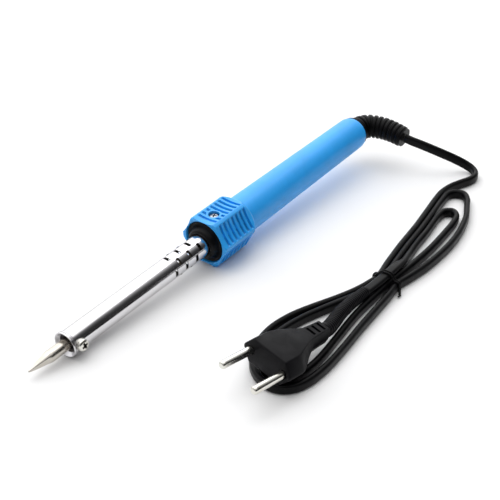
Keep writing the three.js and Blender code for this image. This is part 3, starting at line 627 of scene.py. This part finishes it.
def make_barrel():
    """A thin tube built as two skins of cells, open where a vent is."""
    stations = barrel_stations()
    rows, n = len(stations), BARREL_CELLS
    points = []
    for skin_r in (BARREL_R, BARREL_R - BARREL_WALL):
        for i, x in enumerate(stations):
            r = skin_r - (0.08 if skin_r == BARREL_R and i in (0, rows - 1) else 0)
            for j in range(n):
                a = 2 * math.pi * j / n
                points.append((x, r * math.sin(a), r * math.cos(a)))
    open_cells = {
        (i, j) for i in range(rows - 1) for j in range(n)
        if in_vent((stations[i] + stations[i + 1]) / 2, j)
    }
    faces = []
    skin = rows * n
    for i in range(rows - 1):
        for j in range(n):
            k = (j + 1) % n
            a, b, c, d = i * n + j, i * n + k, (i + 1) * n + k, (i + 1) * n + j
            if (i, j) not in open_cells:
                faces.append((a, b, c, d))
                faces.append((skin + a, skin + d, skin + c, skin + b))
                continue
            sides = (((i, k), b, c), ((i, (j - 1) % n), a, d), ((i - 1, j), a, b), ((i + 1, j), d, c))
            for beside, p, q in sides:
                if beside not in open_cells:
                    faces.append((p, q, skin + q, skin + p))
    for i in (0, rows - 1):
        for j in range(n):
            a, b = i * n + j, i * n + (j + 1) % n
            faces.append((a, b, skin + b, skin + a))
    obj = add_piece("barrel_fine", points, faces, "polished_steel", "iron", ["barrel_tube"], IRON, sharp=30)
    cut(obj, clamp_hole(), 30)
    second_slot(obj, "burnt_steel", lambda c: math.hypot(c.y, c.z) < BARREL_R - 0.05)


# ---------- insulator and its screws ----------
WINDOW_STATION = -8.9
SEAT_R = 9.6


def make_insulator():
    """The black bush, with a pocket and a hole under each window, and the two screws in them."""
    profile = [
        (-18.5, 6.3), (-18.5, 10.3), (-2.3, 10.3), (-2.3, 11.15), (-1.2, 11.15), (-1.0, 10.9), (-1.5, 10.2),
        (-1.4, 9.6), (-0.7, 9.0), (0.9, 8.5), (2.2, 8.0), (2.8, 7.4), (2.9, 6.9), (2.7, 6.3),
    ]
    points, faces = turned(rounded(profile, 0.3), 112)
    obj = add_piece("insulator_fine", points, faces, "black_plastic", "iron", ["insulator"], IRON)
    for angle in (0, 180):
        for hole in (rod(0, 3, 2.75, 40), rod(-4.2, 1, 1.5, 32)):
            cut(obj, cutter(*hole, outward(angle, WINDOW_STATION, SEAT_R)))
    for name, angle in (("barrel_screw_top", 0), ("barrel_screw_bottom", 180)):
        head = screw(
            name, "iron", outward(angle, WINDOW_STATION, SEAT_R + 0.3), head_r=2.4, head_h=1.4,
            shaft_r=1.2, shaft_l=3.2, recess=(0.62, 0.26),
        )
        head.data.materials[0] = MATERIALS["zinc"]


# ---------- handle ----------
PANEL_ANGLE = math.pi / 3
PANEL_R = 11.95
LAND_EDGE = math.radians(26)
COLLAR_END = -23.0
SHOULDER_END = -28.61
SMOOTHED_FROM = -24
HANDLE_REAR = -131.4
GROOVES = 7
GROOVE_FIRST = -3.8
GROOVE_PITCH = 3.09
GROOVE_DEPTH = 1.15
GROOVE_EDGE = math.radians(24.8)
GROOVE_HALF = 0.76
WINDOW_CLEAR = 3.95
WINDOW_FLOOR_R = 10.8
SKIN_R = 10.9  # where the grooves are, the bore's wall is nearer the axis than this
AROUND = 480
RING_STEP = 0.155


def from_panel(angle):
    """How far an angle is from the middle of its panel."""
    return (angle + PANEL_ANGLE / 2) % PANEL_ANGLE - PANEL_ANGLE / 2


def collar_radius(angle):
    """The collar's outline: a narrow land on each ridge and a scooped panel between two ridges."""
    off = from_panel(angle)
    if abs(off) >= LAND_EDGE:
        return RIDGE_R
    half = RIDGE_R * math.sin(LAND_EDGE)
    rise = RIDGE_R * math.cos(LAND_EDGE) - PANEL_R
    d = PANEL_R
    for _ in range(6):
        d = PANEL_R + rise * (d * math.tan(off) / half) ** 2
    return d / math.cos(off)


def between(x, stops):
    return float(np.interp(x, [s[0] for s in stops], [s[1] for s in stops]))


def collar_limit(x):
    return between(x, [
        (-28.6, 9.2), (-27.2, 10.3), (-25.2, 12.7), (-23.4, 13.95), (-22.6, 14.2), (-0.9, 14.2),
        (-0.35, 13.9), (0.0, 13.45),
    ])


def grip_radius(x):
    end = HANDLE_REAR
    return between(x, [
        (end, 8.35), (end + 0.4, 8.55), (end + 1.9, 9.02), (end + 2.3, 9.1), (end + 2.8, 9.16),
        (-107, 9.36), (-84, 9.6), (-63, 9.8), (-42, 10.03), (-28, 10.2),
    ])


def groove_mask(x, angle):
    """1 in a groove, 0 outside it; the two panels with a window keep clear of it."""
    panel = round(angle / PANEL_ANGLE) % 6
    off = from_panel(angle)
    across = 1 - step(abs(off), GROOVE_EDGE, math.radians(2.6))
    if across <= 0:
        return 0.0
    along = 0.0
    for i in range(GROOVES):
        centre = GROOVE_FIRST - GROOVE_PITCH * i
        along = max(along, 1 - step(abs(x - centre), GROOVE_HALF, 0.2))
    if panel in (0, 3) and along > 0:
        reach = math.hypot(x - WINDOW_STATION, PANEL_R * off)
        along *= step(reach, WINDOW_CLEAR, 0.5)
    return across * along


def in_groove_painted_shade(c):
    """The floors of the grooves, where painted shade makes the blue deeper."""
    outside = c.x > COLLAR_END and math.hypot(c.y, c.z) > SKIN_R
    return outside and groove_mask(c.x, math.atan2(c.y, c.z)) > 0.6


def make_handle():
    """The blue moulding: fine rings over the collar and its shoulder, coarse ones down the grip."""
    angles = [2 * math.pi * j / AROUND for j in range(AROUND)]
    outline = np.array([collar_radius(a) for a in angles])
    for _ in range(2):
        outline = (np.roll(outline, 1) + outline * 2 + np.roll(outline, -1)) / 4
    rings = []
    for x in np.arange(0, SHOULDER_END, -RING_STEP):
        limit, grip = collar_limit(x), grip_radius(x)
        row = []
        for a, r in zip(angles, outline):
            radius = min(r, limit)
            if x > COLLAR_END:
                radius -= GROOVE_DEPTH * groove_mask(x, a)
            row.append(max(radius, grip))
        rings.append((x, row))
    smoothed = []
    for i, (x, row) in enumerate(rings):
        if x < SMOOTHED_FROM:
            near = [rings[min(len(rings) - 1, i + k)][1] for k in range(-4, 5)]
            row = list(np.mean(near, axis=0))
        smoothed.append((x, row))
    rings = smoothed
    end = HANDLE_REAR
    coarse = [
        -30, -33, -42, -52, -63, -74, -84, -96, -107, -118, end + 5, end + 3.4, end + 2.8, end + 2.55,
        end + 2.3, end + 2.1, end + 1.9, end + 1.1, end + 0.4, end + 0.15, end,
    ]
    rings += [(x, [grip_radius(x)] * AROUND) for x in coarse]
    bore = [
        (end, 7.6), (end + 0.2, 7.15), (end + 0.6, 7.0), (end + 3.2, 7.0), (end + 3.2, 7.6), (-70, 7.6),
        (-20, 7.6), (-20, 10.6), (-2.6, 10.6), (-2.6, 11.45), (-0.5, 11.45), (-0.15, 11.6), (0, 11.9),
    ]
    rings += [(x, [r] * AROUND) for x, r in bore]
    points = []
    for x, row in rings:
        for a, r in zip(angles, row):
            points.append((x, r * math.sin(a), r * math.cos(a)))
    faces = grid_faces(len(rings), AROUND, closed_rings=True)
    obj = add_piece("handle_fine", points, faces, "blue_plastic", "iron", ["handle_shell"], IRON, sharp=60)
    for angle in (0, 180):
        window = turned([(-2, 0), (-2, 2.9), (1.2, 2.9), (1.9, 3.15), (4, 3.4), (4, 0)], 64)
        cut(obj, cutter(*window, outward(angle, WINDOW_STATION, WINDOW_FLOOR_R)), 45)
    # painted shade: the groove floors take the darker blue
    second_slot(obj, "blue_painted_groove_shade", in_groove_painted_shade)


def make_rear_ring():
    rear, front = HANDLE_REAR - 1.5, HANDLE_REAR - 0.3
    profile = rounded([(rear, 7.0), (rear, 8.0), (rear + 0.3, 8.3), (front, 8.3), (front, 7.0)], 0.15)
    points, faces = turned(profile, 96)
    add_piece("rear_ring_fine", points, faces, "black_plastic", "iron", ["rear_ring"], IRON)


# ---------- strain relief ----------
BOOT_ROUTE = [
    (-131.2, 0.8, 21.4), (-135.3, 3.3, 21.4), (-138.2, 10.3, 21.2), (-139, 16.9, 20.6),
    (-139.1, 24.4, 19.4),
]


def on_axis(x):
    return tuple(IRON @ Vector((x, 0, 0)))


def arc_lengths(path):
    """How far along the path each of its points lies."""
    return np.concatenate([[0], np.cumsum(np.linalg.norm(np.diff(path, axis=0), axis=1))])


BOOT_RIBS = 11
BOOT_PLAIN = 8.9
BOOT_FLANGE = 2.6
BOOT_FLANGE_R = 7.25
BOOT_NECK_R = 6.65
BOOT_RIB_R = 6.95
BOOT_TAPER = 1.2
RIB_DEPTH = 0.75


def make_strain_relief():
    """A flange inside the handle's mouth, a plain neck, then ribs that grow slimmer to the end."""
    start = HANDLE_REAR + 6
    path = spline([on_axis(start), on_axis(start - 3), on_axis(HANDLE_REAR - 1.4)] + BOOT_ROUTE, 0.22)
    run = arc_lengths(path)
    total = run[-1]
    pitch = (total - BOOT_PLAIN - 0.6) / BOOT_RIBS

    def radius(i):
        s = run[i]
        if s < BOOT_FLANGE:
            return BOOT_FLANGE_R if s > 0.2 else BOOT_FLANGE_R - 0.35
        if s < BOOT_PLAIN:
            return BOOT_NECK_R
        t = (s - BOOT_PLAIN) / (total - BOOT_PLAIN)
        outer = BOOT_RIB_R - BOOT_TAPER * t
        phase = ((s - BOOT_PLAIN) % pitch) / pitch
        rib = min(1.0, max(0.0, (0.5 - abs(phase - 0.42)) * 7 - 0.9))
        rib = rib * rib * (3 - 2 * rib)
        end = min(1.0, (total - s) / 0.5)
        return outer - RIB_DEPTH * (1 - rib) - 0.4 * (1 - end)

    radii = [radius(i) for i in range(len(path))]
    points, faces = swept(path, lambda i: ring_section(radii[i], 64))
    nodes = ["strain_relief"]
    return add_piece("strain_relief_fine", points, faces, "cord_rubber", "iron", nodes, sharp=60)


# ---------- the lead ----------
CORD_WIDTH = 5.2
CORD_THICKNESS = 3.2
# Each row is x, y, z and how far the flat side has rolled over: 0 stands on edge, 1 lies flat.
LEAD_ROUTE = [
    (-139.1, 24.95, 19.3, 0), (-139.8, 29, 18.4, 0), (-142.8, 35, 16.2, 0), (-148.1, 42.8, 12.2, 0),
    (-153.3, 49.2, 8.2, 0), (-157, 54.8, 4.7, 0), (-157.4, 58.7, 3.1, 0), (-155.2, 62, 2.65, 0),
    (-150.8, 64.2, 2.65, 0), (-145.9, 64, 2.65, 0), (-141.8, 62.6, 2.65, 0), (-138.8, 61.6, 2.65, 0),
]
RUN_1 = [
    (-132.8, 59.9), (-124.8, 59.2), (-116.8, 60.3), (-101.8, 63.5), (-84.2, 67.2), (-64.6, 70.6),
    (-46.8, 74.3), (-32.8, 77.5), (-24.8, 77.0), (-16.8, 75.6), (-9, 73.4), (-0.5, 70.4), (9.1, 66.8),
    (17.6, 64.1), (26.3, 62.5), (35.5, 62.3), (47.2, 64.8), (57.2, 70), (63.4, 76.6), (66.4, 84),
    (65.4, 91), (60.6, 96), (53.2, 98.3), (41.2, 98.6), (22.5, 96.4), (6.1, 93.8), (-10.5, 91.6),
    (-22.8, 90),
]
RUN_2 = [
    (-32.8, 88.3), (-44.2, 89.6), (-56.1, 90.6), (-69.9, 90.5), (-83.5, 89.4), (-97.4, 86.6),
    (-109.6, 82.5), (-119.4, 77.4), (-125.8, 73.8), (-129.5, 69.6), (-128.4, 65.2), (-124.2, 62.8),
    (-116.8, 63.7), (-101.8, 66.9), (-84.2, 70.6), (-64.6, 74), (-46.8, 77.7), (-32.8, 80.9),
    (-22.8, 80.2), (-10.8, 77.2), (-0.8, 74), (8.2, 71.2), (17.2, 68.8), (27.2, 67.2), (37.2, 67),
    (47.2, 69.2), (55.2, 73.6), (60.2, 79.4), (61.4, 85.4), (58, 90.4), (51.2, 92.8), (43.2, 93.2),
    (33.2, 92.2), (20.3, 90), (9.5, 88.1), (-1.7, 86.4), (-14.3, 85.4),
]
RUN_3 = [
    (-32.8, 84.4), (-46.8, 84.7), (-59.9, 84.6), (-73.1, 83.9), (-90.1, 81.9), (-100.8, 80.2), (-107.2, 78),
    (-109.8, 74.4), (-107.4, 71), (-101.4, 70.6), (-92.8, 72.2), (-84.2, 74), (-70.8, 76.2),
]
RUN_TOP = [
    (-60.8, 78.4, 2.9, 0), (-52.8, 80.2, 4.2, 0.3), (-45.8, 81.6, 6, 0.8), (-38.8, 82.4, 6.9, 1),
    (-32.8, 82.7, 7.0, 1), (-24.8, 82.8, 6.9, 1), (-17.8, 82.7, 6.85, 1), (-12.8, 82.5, 6.9, 1),
]
FLOOR_Z = CORD_WIDTH / 2 + 0.05


def cord_route():
    flat = [(x, y, FLOOR_Z, 0) for x, y in RUN_1 + RUN_2 + RUN_3]
    return spline(LEAD_ROUTE + flat + RUN_TOP, 1.1)


def twin_section(around=28):
    """Two round cores side by side under one sheath, with the slight waist that flat twin lead has."""
    offset = (CORD_WIDTH - CORD_THICKNESS) / 2
    section = []
    for j in range(around):
        a = 2 * math.pi * j / around
        wide = offset * (1 if math.sin(a) >= 0 else -1) + CORD_THICKNESS / 2 * math.sin(a)
        thin = CORD_THICKNESS / 2 * math.cos(a)
        dip = 0.16 * math.exp(-((wide / 0.75) ** 2))
        section.append((thin - math.copysign(dip, thin), wide))
    return section


def make_cord():
    """The whole lead in one sweep, with its path and its length in metres."""
    route = cord_route()
    path = route[:, :3]
    roll = route[:, 3]
    tangents = np.gradient(path, axis=0)

    def wide_at(i):
        side = np.cross((0, 0, 1), tangents[i] / np.linalg.norm(tangents[i]))
        side /= np.linalg.norm(side)
        angle = roll[i] * math.pi / 2
        return np.array((0, 0, 1)) * math.cos(angle) + side * math.sin(angle)

    section = twin_section()
    points, faces = swept(path, lambda i: section, wide_at)
    obj = add_piece("lead_fine", points, faces, "cord_rubber", "iron", ["cord_lead", "cord_hank"], sharp=60)
    length = float(arc_lengths(path)[-1]) * MM
    return obj, path * MM, length


# ---------- tie ----------
TIE_X = -32.8
TIE_WIRE_R = 0.42


def make_tie():
    """Covered wire, wrapped twice round the hank's waist and twisted at one side."""
    low = TIE_WIRE_R + 0.05
    loop = [
        (0, 83, low), (0, 78, low), (0, 76.2, low + 0.3), (0, 75.5, 1.5), (0, 75.5, 4.4), (0, 76.1, 5.5),
        (0, 77.8, 6.1), (0, 79.2, 7.6), (0, 80.2, 8.75), (0, 82.6, 9.0), (0, 85.2, 8.75), (0, 86.2, 7.4),
        (0, 87.6, 6.0), (0, 89.8, 5.6), (0, 90.4, 4.6), (0, 90.4, 1.4), (0, 89.8, low + 0.2), (0, 88, low),
        (0, 83.4, low),
    ]
    wire = ring_section(TIE_WIRE_R, 12)
    pieces = []
    for lean, start in ((1.6, 0.0), (-0.5, 0.5)):
        turn = []
        for k, (_, y, z) in enumerate(loop):
            t = k / (len(loop) - 1)
            turn.append((TIE_X + start + lean * math.sin(t * math.pi) + 0.12 * math.sin(7 * t), y, z))
        pieces.append(swept(spline(turn, 0.5), lambda i: wire, lambda i: (1, 0.02, 0.01)))
    for phase in (0, math.pi):
        tail = []
        for k in range(15):
            t = k / 14
            a = phase + t * 4 * math.pi
            spread = TIE_WIRE_R + 0.9 * max(0.0, t - 0.75)
            x = TIE_X + 1.4 + 3.4 * t + spread * math.cos(a) * 0.6
            y = 90.9 + 2.2 * t - spread * math.cos(a) * 0.5
            tail.append((x, y, 3.6 - 2.4 * t + spread * math.sin(a)))
        pieces.append(swept(spline(tail, 0.35), lambda i: wire, lambda i: (0.2, 1, 0.3)))
    points, faces = [], []
    for some_points, some_faces in pieces:
        first = len(points)
        points += some_points
        faces += [tuple(first + v for v in face) for face in some_faces]
    add_piece("twist_tie_fine", points, faces, "black_plastic", "iron", ["twist_tie"], sharp=60)


# ---------- plug ----------
PLUG = Matrix.Translation((65, 83.8, 13.3))
PLUG @= Matrix.Rotation(math.radians(-4.3), 4, "Z") @ Matrix.Rotation(math.radians(-6.2), 4, "Y")
PLUG @= Matrix.Rotation(math.radians(-10.5), 4, "X")
PIN_SPACING = 19.0
PIN_LENGTH = 19
PIN_R = 2.0
PIN_NOSE = PIN_LENGTH - 1.6
NECK_SLOT = (1.5, 5.2, 2.0)
NECK_SLOT_PITCH = 3.5


def make_plug_body():
    """Hexagonal sections from the pin face to the neck, softened by a bevel."""
    stations = [
        (0, 13.6, 9.2, 6.3), (-0.8, 14, 9.4, 6.5), (-5, 14, 9.4, 6.5), (-8.8, 14, 9.4, 6.5),
        (-11, 13.4, 9.0, 6.5), (-14, 11.7, 8.0, 6.45), (-17.5, 9.5, 6.7, 6.2), (-21, 7.5, 5.4, 5.7),
        (-24.2, 6.0, 4.5, 5.1), (-27.2, 5.2, 3.9, 4.6), (-32, 4.7, 3.6, 4.4), (-37.4, 4.4, 3.4, 4.3),
        (-38.4, 4.0, 3.1, 3.9),
    ]
    points = []
    for x, wide, flat, thick in stations:
        edge = 1.0 if x > -20 else 1.6
        points += [
            (x, -wide, -edge * 0.5), (x, -flat, -thick), (x, flat, -thick), (x, wide, -edge * 0.5),
            (x, wide, edge * 0.5), (x, flat, thick), (x, -flat, thick), (x, -wide, edge * 0.5),
        ]
    faces = grid_faces(len(stations), 8)
    faces.append(tuple(range(8)))
    faces.append(tuple(range(len(points) - 8, len(points))))
    obj = add_piece("plug_body_fine", points, faces, "plug_plastic", "iron", ["plug_body"], PLUG, sharp=60)
    bevel = obj.modifiers.new("bevel", "BEVEL")
    bevel.width = 0.7 * MM
    bevel.segments = 3
    bevel.limit_method = "ANGLE"
    bevel.angle_limit = math.radians(22)
    apply_modifiers(obj)
    slots = []
    for i in range(3):
        for face in (-1, 1):
            place = Matrix.Translation((-28.4 - i * NECK_SLOT_PITCH, 0, face * 4.4))
            slots.append((place, NECK_SLOT))
    cut(obj, cutter(*boxes(slots), PLUG), 30)
    for lateral in (-1, 1):
        centre = PLUG @ Matrix.Translation((0, lateral * PIN_SPACING / 2, 0))
        cut(obj, cutter(*rod(-8, 1, PIN_R + 0.25, 40), centre), 30)
    return obj


def make_pins():
    pins = []
    for number, lateral in ((1, -1), (2, 1)):
        profile = [(-7.7, 0), (-7.7, PIN_R - 0.1), (-7.4, PIN_R), (0.6, PIN_R), (PIN_NOSE, PIN_R)]
        for i in range(1, 9):
            a = i / 9 * math.pi / 2
            profile.append((PIN_NOSE + 1.6 * math.sin(a), 0.75 + 1.25 * math.cos(a)))
        profile += [(PIN_LENGTH, 0.6), (PIN_LENGTH, 0)]
        points, faces = turned(profile, 48)
        matrix = PLUG @ Matrix.Translation((0, lateral * PIN_SPACING / 2, 0))
        name = "plug_pin_%d" % number
        pins.append(add_piece(name + "_fine", points, faces, "nickel", "iron", [name], matrix, sharp=40))
    return pins


PLUG_BOOT_ROUTE = [
    (26.48, 86.69, 9.1), (23.36, 86.93, 8.76), (18, 86, 8.55), (9.4, 84.2, 8.3), (0.2, 83.2, 7.9),
    (-7, 82.8, 7.4), (-13.6, 82.6, 7),
]
PLUG_RIB_PITCH = 1.3
PLUG_RIB_DEPTH = 0.34
PLUG_BOOT_R = 3.75
PLUG_BOOT_TAPER = 0.85


def make_plug_boot():
    """A slim boot with fine thread-like ribs."""
    path = spline(PLUG_BOOT_ROUTE, 0.2)
    run = arc_lengths(path)
    total = run[-1]

    def radius(i):
        t = run[i] / total
        wave = 0.5 + 0.5 * math.cos(2 * math.pi * run[i] / PLUG_RIB_PITCH)
        plain = run[i] < 1.4 or total - run[i] < 0.8
        return PLUG_BOOT_R - PLUG_BOOT_TAPER * t - (0 if plain else PLUG_RIB_DEPTH * wave)

    radii = [radius(i) for i in range(len(path))]
    points, faces = swept(path, lambda i: ring_section(radii[i], 48))
    return add_piece("plug_boot_fine", points, faces, "plug_plastic", "iron", ["plug_boot"], sharp=60)


# ---------- the pieces that stay as CAD made them ----------
def dress_inner_nodes():
    shown = {s["node"]: s["material_slot"] for s in frame["record"]["subparts"]}
    for name, obj in frame["nodes"].items():
        dress(obj, shown[name])
        for polygon in obj.data.polygons:
            polygon.use_smooth = False


# ---------- stage ----------
def area_light(name, place, target, size, power):
    data = bpy.data.lights.new(name, "AREA")
    data.shape = "RECTANGLE"
    data.size = data.size_y = size
    data.energy = power
    lamp = bpy.data.objects.new(name, data)
    lamp.location = place
    lamp.rotation_mode = "QUATERNION"
    lamp.rotation_quaternion = (Vector(target) - Vector(place)).to_track_quat("-Z", "Y")
    bpy.context.scene.collection.objects.link(lamp)


# The world is bright on the key light's side, weaker past the tip and dark on the far side.
SOFTBOX_SIDE = Vector((-0.45, -0.60, 0.65)).normalized()
STUDIO = [(0.0, 0.035), (0.07, 0.05), (0.2, 0.085), (0.34, 0.2), (0.46, 0.42), (0.6, 0.74), (0.9, 0.93)]
FLOOR_HALF = 6.0
FLOOR_DROP = -0.00002
FILL_SIDE = Vector((0.80, -0.55, 0.25)).normalized()
FILL = [(0.0, 0.0), (0.3, 0.0), (0.6, 0.3), (1.0, 0.5)]


def softbox(tree, coords, side, stops):
    """The brightness of the world towards one side: a ramp over the angle to it."""
    towards = tree.nodes.new("ShaderNodeVectorMath")
    towards.operation = "DOT_PRODUCT"
    towards.inputs[1].default_value = side
    ramp = tree.nodes.new("ShaderNodeValToRGB")
    tree.links.new(coords.outputs["Generated"], towards.inputs[0])
    tree.links.new(towards.outputs["Value"], ramp.inputs["Fac"])
    elements = ramp.color_ramp.elements
    while len(elements) < len(stops):
        elements.new(0.5)
    for element, (place, value) in zip(elements, stops):
        element.position = place
        element.color = (value, value, value * 1.01, 1)
    return ramp.outputs["Color"]


def make_stage():
    h = FLOOR_HALF
    mesh = bpy.data.meshes.new("floor")
    mesh.from_pydata([(-h, -h, 0), (h, -h, 0), (h, h, 0), (-h, h, 0)], [], [(0, 1, 2, 3)])
    floor = bpy.data.objects.new("floor", mesh)
    floor.location.z = FLOOR_DROP
    bpy.context.scene.collection.objects.link(floor)
    n = Nodes("floor")
    n.colour(n.ramp(n.noise(8, 2), [(0.3, (0.90, 0.90, 0.90)), (0.7, (0.93, 0.93, 0.93))]))
    n.set(Roughness=0.85)
    floor.data.materials.append(n.material)
    world = bpy.data.worlds.new("world")
    bpy.context.scene.world = world
    world.use_nodes = True
    tree = world.node_tree
    background = tree.nodes["Background"]
    coords = tree.nodes.new("ShaderNodeTexCoord")
    both = tree.nodes.new("ShaderNodeVectorMath")
    both.operation = "ADD"
    tree.links.new(softbox(tree, coords, SOFTBOX_SIDE, STUDIO), both.inputs[0])
    tree.links.new(softbox(tree, coords, FILL_SIDE, FILL), both.inputs[1])
    tree.links.new(both.outputs["Vector"], background.inputs["Color"])
    background.inputs["Strength"].default_value = 1.0
    area_light("key", (-0.62, -0.82, 1.15), (0, 0.03, 0), size=2.3, power=17)
    area_light("top", (0.1, 0.25, 1.5), (0, 0.05, 0), size=2.1, power=12)


# ---------- assembly ----------
dress_inner_nodes()
boot = make_strain_relief()
lead, lead_path, lead_length = make_cord()
plug_body = make_plug_body()
pins = make_pins()
plug_boot = make_plug_boot()
make_tie()
make_tip()
make_ferrule()
make_clamp()
make_barrel()
make_insulator()
make_handle()
make_rear_ring()
make_stage()

bpy.context.view_layer.update()
